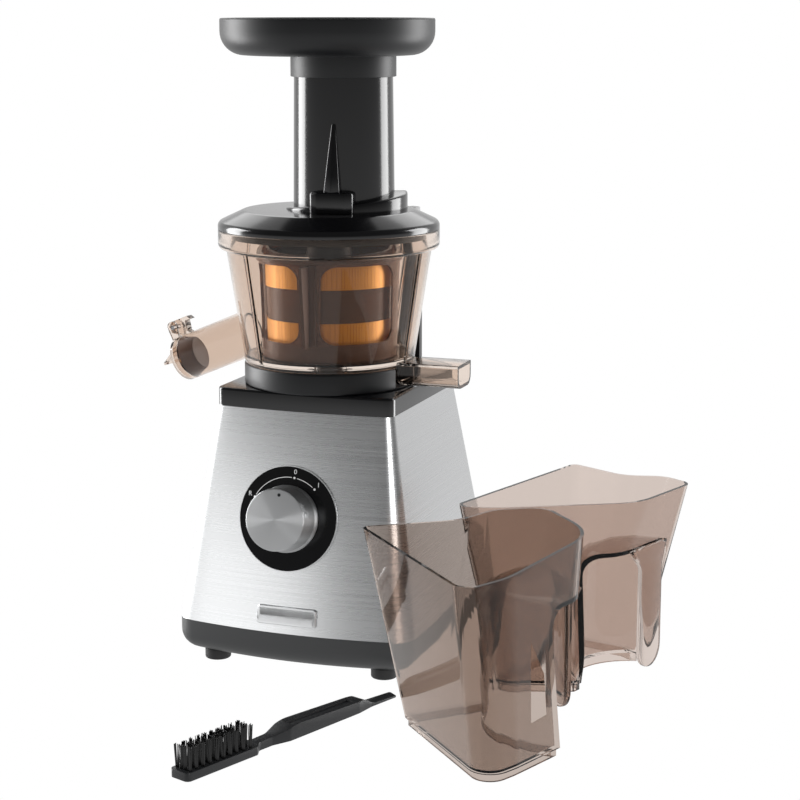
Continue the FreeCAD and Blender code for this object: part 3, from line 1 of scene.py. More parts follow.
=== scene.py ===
"""Looks of a cold press juicer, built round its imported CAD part, with its jugs and brush."""

import json
import math
import random

import bmesh
import bpy
from mathutils import Matrix, Vector

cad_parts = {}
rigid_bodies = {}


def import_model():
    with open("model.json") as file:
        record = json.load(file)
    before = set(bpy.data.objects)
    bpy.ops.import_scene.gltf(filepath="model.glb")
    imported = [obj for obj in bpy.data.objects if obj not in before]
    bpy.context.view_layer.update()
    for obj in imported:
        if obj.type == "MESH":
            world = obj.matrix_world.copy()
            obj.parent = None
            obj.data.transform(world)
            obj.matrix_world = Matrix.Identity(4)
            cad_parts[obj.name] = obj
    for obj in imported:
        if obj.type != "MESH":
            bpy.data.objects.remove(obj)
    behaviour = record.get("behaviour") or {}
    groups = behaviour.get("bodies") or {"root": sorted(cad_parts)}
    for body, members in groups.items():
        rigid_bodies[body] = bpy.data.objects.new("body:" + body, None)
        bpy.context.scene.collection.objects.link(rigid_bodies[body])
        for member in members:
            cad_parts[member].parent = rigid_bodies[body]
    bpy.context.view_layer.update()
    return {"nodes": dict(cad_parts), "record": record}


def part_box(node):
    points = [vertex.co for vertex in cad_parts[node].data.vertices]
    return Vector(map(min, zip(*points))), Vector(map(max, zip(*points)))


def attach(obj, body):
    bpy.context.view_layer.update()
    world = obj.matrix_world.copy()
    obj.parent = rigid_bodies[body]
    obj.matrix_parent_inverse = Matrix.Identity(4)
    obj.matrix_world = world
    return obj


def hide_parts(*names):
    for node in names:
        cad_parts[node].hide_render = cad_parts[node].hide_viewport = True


bl_info = {
    "name": "Cold press juicer",
    "version": (1, 0, 0),
    "blender": (4, 5, 0),
    "location": "View3D > Sidebar > Juicer",
    "description": "Dresses the juicer's frame with finished pieces, materials, lights and camera",
    "category": "Object",
}

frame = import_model()
MM = 0.001


def level(node):
    """The lowest and highest z of a CAD node, in millimetres."""
    low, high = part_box(node)
    return low.z / MM, high.z / MM


# Levels of the stack, from the frame, in millimetres
FLANGE_H = 12.5
BOWL_FOOT_H = 2.0
BOWL_FLOOR = 2.5
LID_H = 12.3
PAN_Z, BODY_Z = level("base_pan")
BODY_TOP_Z = level("housing_shell")[1]
CAP_TOP_Z = level("top_cap")[1]
SEAT_TOP_Z = level("bowl_seat")[1]
BOWL_TOP_Z = level("bowl")[1]
CHUTE_TOP_Z = level("lid")[1]
TRAY_TOP_Z = level("hopper_tray")[1]
FLANGE_Z = BOWL_TOP_Z - FLANGE_H
FLOOR_LOW_Z = SEAT_TOP_Z + BOWL_FOOT_H
FLOOR_Z = FLOOR_LOW_Z + BOWL_FLOOR
LID_TOP_Z = BOWL_TOP_Z + LID_H

# Plan of the steel body at its lower and upper edge: half width, front, bow, back, corner
LOW_PLAN = (82.4, 79.0, 9.0, 107.0, 16.0)
TOP_PLAN = (61.0, 50.0, 3.5, 79.0, 6.5)
MIN_CORNER = 0.8
BODY_H = BODY_TOP_Z - BODY_Z
LEAN = math.atan((LOW_PLAN[1] - TOP_PLAN[1]) / BODY_H)
SHEET = 1.0
CAP_EDGE_R = 1.6
PAN_EDGE_R = 13.0
SEAM_INSET = 3.0
FOOT_R = 8.5
FOOT_EDGE_R = 1.2
FOOT_SUNK = 0.5

# Controls on the front
DIAL_X = -4.0
DIAL_Z = BODY_Z + 72.0
DIAL_R = 33.5
DIAL_EDGE = 0.4
DIAL_RIM_W = 0.6
DIAL_SUNK = 0.2
PLATE_PROUD = 1.2
KNOB_R = 20.5
KNOB_SKIRT = 1.2
KNOB_H = 20.0
KNOB_LOW = PLATE_PROUD + 0.3
KNOB_STEPS = 144
POINTER_OUT = 16.0
POINTER_R = 1.1
MARK_R = 26.6
MARK_DOT_R = 0.75
MARK_LINE = 0.2
MARK_PROUD = 0.06
MARK_T = 0.1
MARK_TURNS = {"R": -63.0, "0": 7.0, "I": 41.0}
MARK_ARCS = ((-59.0, 3.0), (11.0, 37.0))
MARK_TEXT_R = 30.4
MARK_SIZE = 4.3
PLATE_W = 41.0
PLATE_H = 12.0
PLATE_CORNER = 2.2
PLATE_Z = BODY_Z + 5.0 + PLATE_H / 2

# Bowl, spouts and strainer
SEAT_R = 56.0
SEAT_IN_R = 46.0
BOWL_LOW_R = 55.5
BOWL_TOP_R = 67.0
BOWL_WALL = 2.2
FLANGE_R = 72.1
SPIGOT_R = 45.4
SPIGOT_WALL = 2.2
SPIGOT_H = 10.0
HUB_R = 11.0
HUB_BORE_R = 8.4
HUB_UP = 4.0
HUB_DOWN = 6.0
RIB_ANGLES = (-119.0, -9.0, 61.0, 171.0)
RIB_W = 2.2
RIB_PROUD = 2.2
PULP_Y = -4.0
PULP_HALF = 13.5
PULP_LOW_Z = SEAT_TOP_Z - 11.5
PULP_HIGH_Z = PULP_LOW_Z + 15.5
PULP_END_X = 94.5
PULP_WALL = 2.2
PULP_CORNER = 6.5
JUICE_R = 15.2
JUICE_WALL = 1.9
JUICE_L = 66.0
JUICE_MOUTH = Vector((-104.2, 7.0, 189.0))
JUICE_TURN = math.radians(9.0)
JUICE_DIP = math.radians(22.5)
PIVOT_UP = 22.0
PIVOT_OUT = 3.5
FLIP_RIM = 6.7
FLIP_WALL = 1.8
FLIP_FACE = 2.0
FLIP_GAP = 0.3
PLUG_R = 12.6
PLUG_TIP_R = 10.0
PLUG_L = 10.7
PLUG_HEAD = 2.0
ARM_IN = 3.5
ARM_OUT = 5.7
EYE_R = 4.2
LUG_HALF = 3.2
TAB_HALF = 4.5
CUT_REACH = 40.0
STRAINER_WALL = 1.9
STRAINER_HUB_R = 18.6
STRAINER_UP = 8.1
STRAINER_FLOOR = 2.0
SCREEN_BACK = 0.5
SCREEN_PROUD = 0.15
STRAINER_LOW_R = 40.0
STRAINER_TOP_R = 41.6
STRAINER_TOP_Z = 268.0
SCREENS = {"screen_lower": (209.5, 224.5), "screen_upper": (246.5, 263.5)}
WIPER_GAP = 2.5
WIPER_WALL = 1.8
WIPER_LIP = 3.4
WIPER_LIP_H = 3.0
WIPER_WINDOWS = 4
RUN_GAP = 0.3
WIPER_TOP_Z = 266.5
WIPER_FIRST = -84.7
WINDOW_Z = (211.0, 262.0)
WINDOW_HALF = 26.2
WINDOW_CORNER = 9.0
RING_TEETH = 38
RING_MODULE = 2.0
RING_GEAR_H = 7.2
AUGER_R = 37.2
AUGER_LOW_Z = FLOOR_Z + 10.7
AUGER_TOP_Z = 276.0
AUGER_TURN = 1.9 * 360.0
AUGER_CORE = (30.0, 12.0)
AUGER_NECK_R = 17.6
AUGER_PIN_R = 3.0
AUGER_STEPS = 84
AUGER_AROUND = 60
FLIGHT_HALF = 13.0
FLIGHT_FLANK = 15.0

# Lid, chute and tray
CHUTE = Vector((6.0, 12.0, 0.0))
CHUTE_LOW_R = 33.1
CHUTE_TOP_R = 31.9
CHUTE_BORE_R = 29.5
FIN_TURN = -80.0
TRAY_R = 68.8
TRAY_WALL = 2.4
TRAY_EDGE_R = 15.0
COLLAR_R = 34.2
COLLAR_H = 13.8
LID_RIM_H = 4.5
LID_WALL = 2.2
LID_SHOULDER_R = 55.5
LIP_H = 5.0
LIP_WALL = 2.1
LIP_GAP = 0.3
GRIP_TURN = 64.0
KEEPER_HALF = 14.0
KEEPER_H = 13.5
FIN_LOW = 12.0
FIN_HIGH = 56.0
RAMP_TURNS = (-150.0, 24.0)
RAMP_RISE = (0.8, 11.0)
RAMP_R = 41.5
ROUND_STEPS = 128
TRAY_STEPS = 160

# Catch jugs: rim and base corners as (out, across, rounding), then where each one stands
JUG_H = 120.0
JUG_WALL = 2.2
JUG_FOOT_H = 5.0
JUG_FOOT_INSET = 2.0
JUG_RIM = (
    (0, 72, 6), (0, -72, 10), (34, -60, 70), (121, 4, 56), (123, 70, 15), (90, 77, 24), (60, 63, 34))
JUG_BASE = (
    (20, 54, 5), (20, -58, 13), (46, -48, 40), (88, -27, 3), (92, 50, 3), (70, 56, 12), (46, 55, 20))
# Hand pocket as out, across, radius, top and edge
JUG_POCKET = (114.0, 14.0, 54.0, 86.0, 12.0)
GRIP_U = 111.0
GRIP_V = 30.0
GRIP_W = 26.0
GRIP_T = 3.4
GRIP_BEND = 13.0
JUG_PLACES = {"juice_jug": (120.9, -184.2, 43.2, 1.0), "pulp_jug": (127.8, 0.9, -16.7, 0.74)}

# Brush on the floor
BRUSH_PLACE = Matrix.Translation((11.0, -256.0, 0.0)) @ Matrix.Rotation(math.radians(69.0), 4, "Z")
TUFT_ROWS = 4
TUFT_COLUMNS = 10
BRISTLES = 12
BRUSH_HEAD_L = 47.0
BRUSH_HEAD_W = 10.0
BRUSH_HEAD_T = 5.0
TUFT_H = 14.5
GROOVE_HALF = 2.4

# Camera of the photograph, in metres and degrees
LENS_MM = 88.7
SENSOR_MM = 36.0
CAMERA_AT = (0.481011, -1.1866, 0.423687)
CAMERA_DOWN = 11.36
CAMERA_TURN = 19.998
VIEW_AWAY = Vector((-0.3353, 0.9213, -0.197))

# Lamps: name, degrees round the object, distance, height, width, tall, radiance, group that it lights
LAMPS = (
    ("left strip", 179, 1.3, 0.4, 0.6, 1.3, 11.0, "opaque"),
    ("right strip", 39, 1.3, 0.4, 0.6, 1.3, 8.5, "opaque but steel"),
    ("right corner strip", -42, 1.5, 0.4, 0.25, 0.7, 16.0, "steel base"),
    ("front left box", -150, 1.6, 0.4, 0.6, 0.9, 1.35, "steel base"),
    ("front low box", -120, 1.6, 0.08, 0.85, 0.46, 1.5, "steel base"),
    ("back top box", 110, 1.5, 1.15, 1.5, 0.8, 1.3, "opaque but steel"),
)
LAMP_AIM = 0.8
FRONT_LIT = ("steel_body", "pan", "foot_pads", "knob", "dial_rim", "blank_plate", "brush_stick")

# Brightness of the surround for rays through clear walls, mirrored rays and dull faces, from side to ahead
CLEAR_GLOW = (0.62, 1.0)
AHEAD_GLOW = (0.1, 0.85)
FLOOR_GLOW = 0.9
DULL_GLOW = 0.5


def linear(hexed):
    """A linear RGBA colour from an sRGB hex value."""
    parts = [int(hexed[i:i + 2], 16) / 255 for i in (1, 3, 5)]
    return [c / 12.92 if c <= 0.04045 else ((c + 0.055) / 1.055) ** 2.4 for c in parts] + [1.0]


def hex_prop(name, default, description):
    return bpy.props.StringProperty(name=name, default=default, description=description)


class JuicerColours(bpy.types.PropertyGroup):
    steel: hex_prop("Steel", "#D2D3D4", "Brushed steel of the motor base")
    pan: hex_prop("Pan", "#2F3031", "Moulded pan under the steel")
    black: hex_prop("Black", "#0E0E10", "Glossy black mouldings")
    satin: hex_prop("Satin black", "#18191B", "Satin black mouldings")
    tint: hex_prop("Clear brown", "#E8DACF", "Tint of one wall of the clear bowl and spouts")
    jug_tint: hex_prop("Jug brown", "#D4C6BE", "Tint of one wall of the pulp jug")
    dark_tint: hex_prop("Dark brown", "#BFB1A8", "Tint of one wall of the juice jug")
    smoke: hex_prop("Smoke brown", "#8F6650", "Tint of one wall of the strainer and wiper")
    gold: hex_prop("Gold", "#DC9A3C", "Coated screens of the strainer")
    auger: hex_prop("Auger", "#2A1A14", "Auger, seen through the bowl")


class JuicerSizes(bpy.types.PropertyGroup):
    steps: bpy.props.IntProperty(
        name="Round steps", default=96, min=24, max=192, description="Facets round a full turn")
    grain: bpy.props.FloatProperty(
        name="Grain", default=0.35, min=0.0, max=1.0, subtype="FACTOR",
        description="Strength of the steel's grain")
    bristle: bpy.props.FloatProperty(
        name="Bristle", default=0.00042, min=0.0002, max=0.001, unit="LENGTH",
        description="Radius of a bristle")


def colours():
    return bpy.context.scene.juicer_colours


def sizes():
    return bpy.context.scene.juicer_sizes


# Small geometry helpers, all in millimetres

def between(low, high, share):
    return low + (high - low) * share


def polar(radius, degrees, z=0.0):
    turn = math.radians(degrees)
    return Vector((radius * math.cos(turn), radius * math.sin(turn), z))


def arc(x, y, radius, start, end, steps):
    """Points along an arc about (x, y), with its angles in radians."""
    turns = [between(start, end, i / steps) for i in range(steps + 1)]
    return [(x + radius * math.cos(turn), y + radius * math.sin(turn)) for turn in turns]


def rounded(corners, steps=6):
    """Points (a, b) of a closed outline whose corners (a, b, radius) are arcs."""
    spots = [Vector(corner[:2]) for corner in corners]
    points = []
    for i, (_, _, radius) in enumerate(corners):
        here = spots[i]
        if not radius:
            points.append(here)
            continue
        before = (spots[i - 1] - here).normalized()
        after = (spots[(i + 1) % len(spots)] - here).normalized()
        half = before.angle(after) / 2
        middle = (before + after).normalized()
        centre = here + middle * (radius / math.sin(half))
        side = (before - middle * before.dot(middle)).normalized()
        for j in range(steps + 1):
            turn = (math.pi / 2 - half) * (1 - 2 * j / steps)
            points.append(centre + (side * math.sin(turn) - middle * math.cos(turn)) * radius)
    return points


def box_corners(half, low, high, low_r, high_r):
    """Corners for rounded: a box from -half to half and from low to high."""
    return [(-half, low, low_r), (half, low, low_r), (half, high, high_r), (-half, high, high_r)]


def ring_of(bm, points):
    verts = [bm.verts.new(point) for point in points]
    return [bm.edges.new(pair) for pair in zip(verts, verts[1:] + verts[:1])]


def cleaned(bm):
    bmesh.ops.remove_doubles(bm, verts=bm.verts, dist=1e-4)
    bmesh.ops.dissolve_degenerate(bm, edges=bm.edges, dist=1e-5)
    bmesh.ops.recalc_face_normals(bm, faces=bm.faces)
    return bm


def skin(rings, closed=False):
    """A solid bridged from ring to ring, capped at its ends or closed on itself."""
    bm = bmesh.new()
    loops = [ring_of(bm, ring) for ring in rings]
    pairs = list(zip(loops, loops[1:]))
    if closed:
        pairs.append((loops[-1], loops[0]))
    for low, high in pairs:
        bmesh.ops.bridge_loops(bm, edges=low + high)
    if not closed:
        for loop in (loops[0], loops[-1]):
            bmesh.ops.contextual_create(bm, geom=loop)
    return cleaned(bm)


def spun(profile, steps=None, centre=(0.0, 0.0)):
    """A turned solid from the closed half section of points (radius, z)."""
    bm = bmesh.new()
    edges = ring_of(bm, [Vector((r, 0, z)) for r, z in profile])
    geom = list(bm.verts) + edges
    bmesh.ops.spin(bm, geom=geom, cent=(0, 0, 0), axis=(0, 0, 1), angle=2 * math.pi,
                   steps=steps or sizes().steps, use_merge=True)
    bmesh.ops.translate(bm, verts=bm.verts, vec=(centre[0], centre[1], 0))
    return cleaned(bm)


def prism(points, low, high):
    """An upright solid on flat points (a, b)."""
    return skin([[Vector((a, b, z)) for a, b in points] for z in (low, high)])


def slab(points, y0, y1):
    """A solid with an upright outline (x, z), from y0 to y1."""
    return skin([[Vector((a, y, b)) for a, b in points] for y in (y0, y1)])


def beam(points, x0, x1):
    """A solid with an outline (y, z) across, from x0 to x1."""
    return skin([[Vector((x, a, b)) for a, b in points] for x in (x0, x1)])


def block(across, deep, up):
    """An upright box from pairs of x, y and z."""
    (x0, x1), (z0, z1) = across, up
    return slab([(x0, z0), (x1, z0), (x1, z1), (x0, z1)], *deep)


def barrel(radius, low, high, centre=(0.0, 0.0), steps=None, edge=0.0):
    profile = rounded([(0, low, 0), (radius, low, edge), (radius, high, edge), (0, high, 0)], 3)
    return spun(profile, steps, centre)


def placed(bm, matrix):
    bmesh.ops.transform(bm, matrix=matrix, verts=bm.verts)
    return bm


def turned(bm, degrees):
    return placed(bm, Matrix.Rotation(math.radians(degrees), 4, "Z"))


def linked(name, data):
    """A new object in the scene that holds the data."""
    made = bpy.data.objects.new(name, data)
    bpy.context.scene.collection.objects.link(made)
    return made


def joined(parts):
    """One bmesh holding several, without merging them."""
    whole = bmesh.new()
    for part in parts:
        mesh = bpy.data.meshes.new("part")
        part.to_mesh(mesh)
        part.free()
        whole.from_mesh(mesh)
        bpy.data.meshes.remove(mesh)
    return whole


def carved(base, cutters, operation="DIFFERENCE"):
    """The base with every cutter taken away, or added."""
    made = []
    for bm in [base] + cutters:
        mesh = bpy.data.meshes.new("carving")
        bm.to_mesh(mesh)
        bm.free()
        made.append(linked("carving", mesh))
    for cutter in made[1:]:
        step = made[0].modifiers.new("carve", "BOOLEAN")
        step.operation = operation
        step.solver = "EXACT"
        step.object = cutter
    bpy.context.view_layer.update()
    shown = made[0].evaluated_get(bpy.context.evaluated_depsgraph_get())
    result = bmesh.new()
    result.from_mesh(shown.data)
    for shape in made:
        bpy.data.meshes.remove(shape.data)
    bmesh.ops.remove_doubles(result, verts=result.verts, dist=1e-4)
    return result


def softened(bm, width, segments=3, limit=40.0):
    """Round the edges that turn by more than the limit."""
    edges = [e for e in bm.edges if len(e.link_faces) == 2 and e.calc_face_angle(0) > math.radians(limit)]
    bmesh.ops.bevel(bm, geom=edges, offset=width, offset_type="OFFSET", segments=segments, profile=0.5,
                    affect="EDGES", material=-1, clamp_overlap=True)
    return bm


def piece(bm, name, body, slot, nodes=(), sharp=35.0, look=None):
    """A finished object in metres that rides on a body and stands for CAD nodes."""
    for face in bm.faces:
        face.smooth = True
    for edge in bm.edges:
        if len(edge.link_faces) == 2 and edge.calc_face_angle(0) > math.radians(sharp):
            edge.smooth = False
    bmesh.ops.scale(bm, vec=(MM, MM, MM), verts=bm.verts)
    mesh = bpy.data.meshes.new(name)
    bm.to_mesh(mesh)
    bm.free()
    made = linked(name, mesh)
    mesh.materials.append(bpy.data.materials[MATERIALS[look or slot][0]])
    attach(made, body)
    if nodes:
        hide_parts(*nodes)
    return made


# Plan of the motor base

def plan_at(z):
    share = (z - BODY_Z) / BODY_H
    return [between(low, high, share) for low, high in zip(LOW_PLAN, TOP_PLAN)]


def bow_radius(half, bow):
    return (half ** 2 + bow ** 2) / (2 * bow)


def base_ring(z, inset=0.0, at=None, steps=8):
    """Outline of the leaning base: bowed front, rounded corners, straight sides and back."""
    half, front, bow, back, corner = plan_at(z)
    half, front, back = half - inset, front - inset, back - inset
    corner = max(corner - inset, MIN_CORNER)
    bow_r = bow_radius(half, bow)
    bow_y = bow_r - front
    corner_x = half - corner
    corner_y = bow_y - math.sqrt((bow_r - corner) ** 2 - corner_x ** 2)
    meet = math.atan2(corner_y - bow_y, corner_x)
    right = arc(0.0, bow_y, bow_r, -math.pi / 2, meet, steps)
    right += arc(corner_x, corner_y, corner, meet, 0.0, steps)[1:]
    right += arc(corner_x, back - corner, corner, 0.0, math.pi / 2, steps)
    left = [(-x, y) for x, y in reversed(right[1:])]
    return [Vector((x, y, z if at is None else at)) for x, y in right + left]


def front_y(x, z):
    half, front, bow, _, _ = plan_at(z)
    bow_r = bow_radius(half, bow)
    return bow_r - front - math.sqrt(bow_r ** 2 - x ** 2)


def on_front(x, up, out, z0):
    """A point on the bowed, leaning front: across, up the slope from z0, and proud of it."""
    z = z0 + up * math.cos(LEAN)
    return Vector((x, front_y(x, z) - out * math.cos(LEAN), z + out * math.sin(LEAN)))


def laid_on_front(bm, x0, z0):
    """Bend a flat bmesh, drawn across, up and out, onto the front."""
    for vert in bm.verts:
        across, up, out = vert.co
        vert.co = on_front(x0 + across, up, out, z0)
    return bm


def dial_matrix():
    spot = on_front(DIAL_X, 0, 0, DIAL_Z)
    return Matrix.Translation(spot) @ Matrix.Rotation(math.pi / 2 - LEAN, 4, "X")


def juice_matrix():
    turn = Matrix.Rotation(-JUICE_TURN, 4, "Z") @ Matrix.Rotation(-math.pi / 2 - JUICE_DIP, 4, "Y")
    return Matrix.Translation(JUICE_MOUTH) @ turn


def wall_r(z):
    return between(BOWL_LOW_R, BOWL_TOP_R, (z - SEAT_TOP_Z) / (FLANGE_Z - SEAT_TOP_Z))


def strainer_r(z):
    return between(STRAINER_LOW_R, STRAINER_TOP_R, (z - FLOOR_Z) / (STRAINER_TOP_Z - FLOOR_Z))


# Materials

def add_node(tree, kind, inputs=None, **settings):
    """Add a node, set it, and link or fill its inputs."""
    made = tree.nodes.new(kind)
    for key, value in settings.items():
        setattr(made, key, value)
    for socket, value in (inputs or {}).items():
        if isinstance(value, bpy.types.NodeSocket):
            tree.links.new(value, made.inputs[socket])
        else:
            made.inputs[socket].default_value = value
    return made


def new_material(name, inputs):
    made = bpy.data.materials.new(name)
    made.use_nodes = True
    tree = made.node_tree
    tree.nodes.clear()
    shader = add_node(tree, "ShaderNodeBsdfPrincipled", inputs)
    add_node(tree, "ShaderNodeOutputMaterial", {"Surface": shader.outputs[0]})
    return tree, shader


def brushed_steel(name):
    # Cold-rolled stainless brushed across: fine level streaks that spread highlights up and down
    middle = 0.28
    tree, shader = new_material(name, {
        "Base Color": linear(colours().steel), "Metallic": 1.0, "Roughness": middle, "Anisotropic": 0.5})
    coords = add_node(tree, "ShaderNodeTexCoord")
    # Streaks 0.7 mm high and about 170 mm long, coarser than the real 0.1 mm so that they show
    stretch = add_node(tree, "ShaderNodeMapping", {
        "Vector": coords.outputs["Object"], "Scale": (6, 6, 1500)})
    streaks = add_node(tree, "ShaderNodeTexNoise", {
        "Vector": stretch.outputs[0], "Scale": 1.0, "Detail": 1.0})
    spread = sizes().grain * 0.12
    rough = add_node(tree, "ShaderNodeMapRange", {
        "Value": streaks.outputs[0], "To Min": middle - spread, "To Max": middle + spread})
    bump = add_node(tree, "ShaderNodeBump", {
        "Height": streaks.outputs[0], "Strength": sizes().grain * 0.02, "Distance": 0.00001})
    tangent = add_node(tree, "ShaderNodeTangent", direction_type="RADIAL", axis="Z")
    tree.links.new(rough.outputs[0], shader.inputs["Roughness"])
    tree.links.new(bump.outputs[0], shader.inputs["Normal"])
    tree.links.new(tangent.outputs[0], shader.inputs["Tangent"])


def spun_aluminium(name):
    # Faced on a lathe: fine rings that throw two cone-shaped highlights
    tree, shader = new_material(name, {
        "Base Color": linear("#B4B5B6"), "Metallic": 1.0, "Roughness": 0.42, "Anisotropic": 0.92})
    middle = dial_matrix() @ Vector((0, 0, KNOB_LOW + KNOB_H)) * MM
    coords = add_node(tree, "ShaderNodeTexCoord")
    arm = add_node(tree, "ShaderNodeVectorMath", {
        0: coords.outputs["Object"], 1: middle}, operation="SUBTRACT")
    along = add_node(tree, "ShaderNodeVectorMath", {0: arm.outputs[0]}, operation="NORMALIZE")
    tree.links.new(along.outputs[0], shader.inputs["Tangent"])


def satin_zinc(name):
    # Die-cast zinc with a satin finish, a soft even grey
    new_material(name, {"Base Color": linear("#CFD0D1"), "Metallic": 1.0, "Roughness": 0.3})


def plain_steel(name):
    # Machined steel inside the base, with clean highlights
    new_material(name, {"Base Color": linear("#B0B1B3"), "Metallic": 1.0, "Roughness": 0.35})


def grained_abs(name):
    # Moulded ABS with a fine spark grain of 0.4 mm, which dulls it
    tree, shader = new_material(name, {"Base Color": linear(colours().pan), "Roughness": 0.5})
    coords = add_node(tree, "ShaderNodeTexCoord")
    grain = add_node(tree, "ShaderNodeTexNoise", {
        "Vector": coords.outputs["Object"], "Scale": 1 / 0.0004, "Detail": 1.0})
    bump = add_node(tree, "ShaderNodeBump", {
        "Height": grain.outputs[0], "Strength": 0.15, "Distance": 0.0001})
    tree.links.new(bump.outputs[0], shader.inputs["Normal"])


def gloss_abs(name):
    # Polished black ABS, which mirrors the lamps sharply
    new_material(name, {"Base Color": linear(colours().black), "Roughness": 0.16, "IOR": 1.54})


def satin_abs(name):
    # Satin black ABS with soft wide highlights
    new_material(name, {
        "Base Color": linear(colours().satin), "Roughness": 0.42, "Specular IOR Level": 0.35})


def rubber(name):
    # Nitrile rubber, dull and dark
    new_material(name, {"Base Color": linear("#1B1B1C"), "Roughness": 0.7})


def copolyester(name, tint, ior, roughness=0.04, transmission=1.0):
    new_material(name, {
        "Base Color": linear(tint), "Roughness": roughness, "IOR": ior, "Transmission Weight": transmission})


def tinted_copolyester(name):
    # Clear copolyester tinted brown, injection moulded with polished walls.
    # Its IOR is set below the real 1.55, to keep its edges as calm as the photo's
    copolyester(name, colours().tint, 1.35)


def jug_copolyester(name):
    # The same plastic in the jugs' heavier tint
    copolyester(name, colours().jug_tint, 1.25)


def dark_copolyester(name):
    # The same plastic again, deepest in the taller front jug
    copolyester(name, colours().dark_tint, 1.25)


def smoked_copolyester(name):
    # Smoke brown copolyester, half clear
    copolyester(name, colours().smoke, 1.5, 0.15, 0.7)


def coated_mesh(name):
    # Pierced steel with a gold-coloured coating: rows of small dark holes
    tree, shader = new_material(name, {"Metallic": 0.35, "Roughness": 0.35})
    coords = add_node(tree, "ShaderNodeTexCoord")
    # Holes 1.4 mm apart, wider than the real 0.6 mm so that they show
    holes = add_node(tree, "ShaderNodeTexVoronoi", {
        "Vector": coords.outputs["Object"], "Scale": 1 / 0.0014, "Randomness": 0.15})
    shade = add_node(tree, "ShaderNodeMapRange", {
        "Value": holes.outputs["Distance"], "From Min": 0.22, "From Max": 0.42})
    mixed = add_node(tree, "ShaderNodeMix", {
        "Factor": shade.outputs[0], 6: linear("#B9772C"), 7: linear(colours().gold)}, data_type="RGBA")
    tree.links.new(mixed.outputs[2], shader.inputs["Base Color"])


def auger_plastic(name):
    # Glass-filled polyetherimide, dark and slightly glossy
    new_material(name, {"Base Color": linear(colours().auger), "Roughness": 0.3})


def silicone(name):
    # Dark silicone, soft looking
    new_material(name, {"Base Color": linear("#5E463C"), "Roughness": 0.45})


def nylon(name):
    # Natural nylon gears
    new_material(name, {"Base Color": linear("#D8D2C4"), "Roughness": 0.45})


def bristle(name):
    # Black nylon bristles with a slight sheen
    new_material(name, {"Base Color": linear("#121213"), "Roughness": 0.35})


def brass(name):
    # Sintered bronze bushes and a brass pinion
    new_material(name, {"Base Color": linear("#C7A25A"), "Metallic": 1.0, "Roughness": 0.3})


def cast_iron(name):
    # Varnished laminations, dark with a dull sheen
    new_material(name, {"Base Color": linear("#3B3836"), "Metallic": 0.6, "Roughness": 0.5})


def glowing_white_ink(name):
    # Pad-printed white marks, flat and opaque, with a faint painted glow that keeps them bright as if lit
    new_material(name, {
        "Base Color": linear("#F2F2F2"), "Roughness": 0.5, "Emission Color": linear("#FFFFFF"),
        "Emission Strength": 0.15})


MATERIALS = {
    "brushed_shell": ("brushed stainless steel", brushed_steel),
    "grey_pan": ("grained abs", grained_abs),
    "black_rubber": ("nitrile rubber", rubber),
    "gloss_black": ("polished black abs", gloss_abs),
    "satin_black": ("satin black abs", satin_abs),
    "clear_brown": ("tinted copolyester", tinted_copolyester),
    "dark_brown": ("smoked copolyester", smoked_copolyester),
    "gold_screen": ("gold coated steel mesh", coated_mesh),
    "spun_knob": ("spun aluminium", spun_aluminium),
    "plate_metal": ("satin die-cast zinc", satin_zinc),
    "inner_steel": ("machined steel", plain_steel),
    "bearing_brass": ("sintered bronze", brass),
    "rotor_iron": ("varnished laminations", cast_iron),
    "nylon_gear": ("natural nylon", nylon),
    "soft_seal": ("dark silicone", silicone),
    "bristle_nylon": ("black nylon bristle", bristle),
    "print": ("white pad print", glowing_white_ink),
    "screw": ("glass-filled polyetherimide", auger_plastic),
    "jug_brown": ("heavier copolyester", jug_copolyester),
    "jug_dark": ("deepest copolyester", dark_copolyester),
}

CLEAR_LOOKS = ("clear_brown", "jug_brown", "jug_dark")


class JUICER_OT_materials(bpy.types.Operator):
    """Make the materials and put them on the CAD nodes"""

    bl_idname = "juicer.materials"
    bl_label = "Materials"

    def execute(self, context):
        for name, build in MATERIALS.values():
            build(name)
        for part in frame["record"]["subparts"]:
            shape = frame["nodes"][part["node"]]
            shape.data.materials.clear()
            look = "satin_black" if part["node"] == "interlock_post" else part["material_slot"]
            shape.data.materials.append(bpy.data.materials[MATERIALS[look][0]])
        return {"FINISHED"}


class JUICER_OT_base(bpy.types.Operator):
    """Steel body, cap, pan and feet"""

    bl_idname = "juicer.base"
    bl_label = "Motor base"

    def execute(self, context):
        shell = skin([
            base_ring(BODY_Z), base_ring(BODY_TOP_Z), base_ring(BODY_TOP_Z, SHEET),
            base_ring(BODY_Z, SHEET)], closed=True)
        piece(shell, "steel_body", "base", "brushed_shell", ["housing_shell"], sharp=50)
        piece(self.moulding(BODY_TOP_Z, CAP_TOP_Z, CAP_EDGE_R, 4), "cap", "base", "gloss_black", ["top_cap"])
        piece(self.moulding(BODY_Z, PAN_Z, PAN_EDGE_R, 8), "pan", "base", "grey_pan", ["base_pan"])
        low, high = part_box("feet")
        feet = []
        for x in (low.x / MM + FOOT_R, high.x / MM - FOOT_R):
            for y in (low.y / MM + FOOT_R, high.y / MM - FOOT_R):
                feet.append(barrel(FOOT_R, 0, PAN_Z + FOOT_SUNK, (x, y), 48, FOOT_EDGE_R))
        piece(joined(feet), "foot_pads", "base", "black_rubber", ["feet"])
        return {"FINISHED"}

    def moulding(self, seam_z, end_z, radius, steps):
        """A solid from its seam with the steel to its other end, which has a round edge."""
        side = 1 if end_z > seam_z else -1
        rings = [base_ring(seam_z, SEAM_INSET), base_ring(seam_z)]
        for i in range(steps + 1):
            turn = math.pi / 2 * i / steps
            drop = radius * (1 - math.sin(turn))
            rings.append(base_ring(seam_z, radius * (1 - math.cos(turn)), end_z - side * drop))
        return skin(rings)


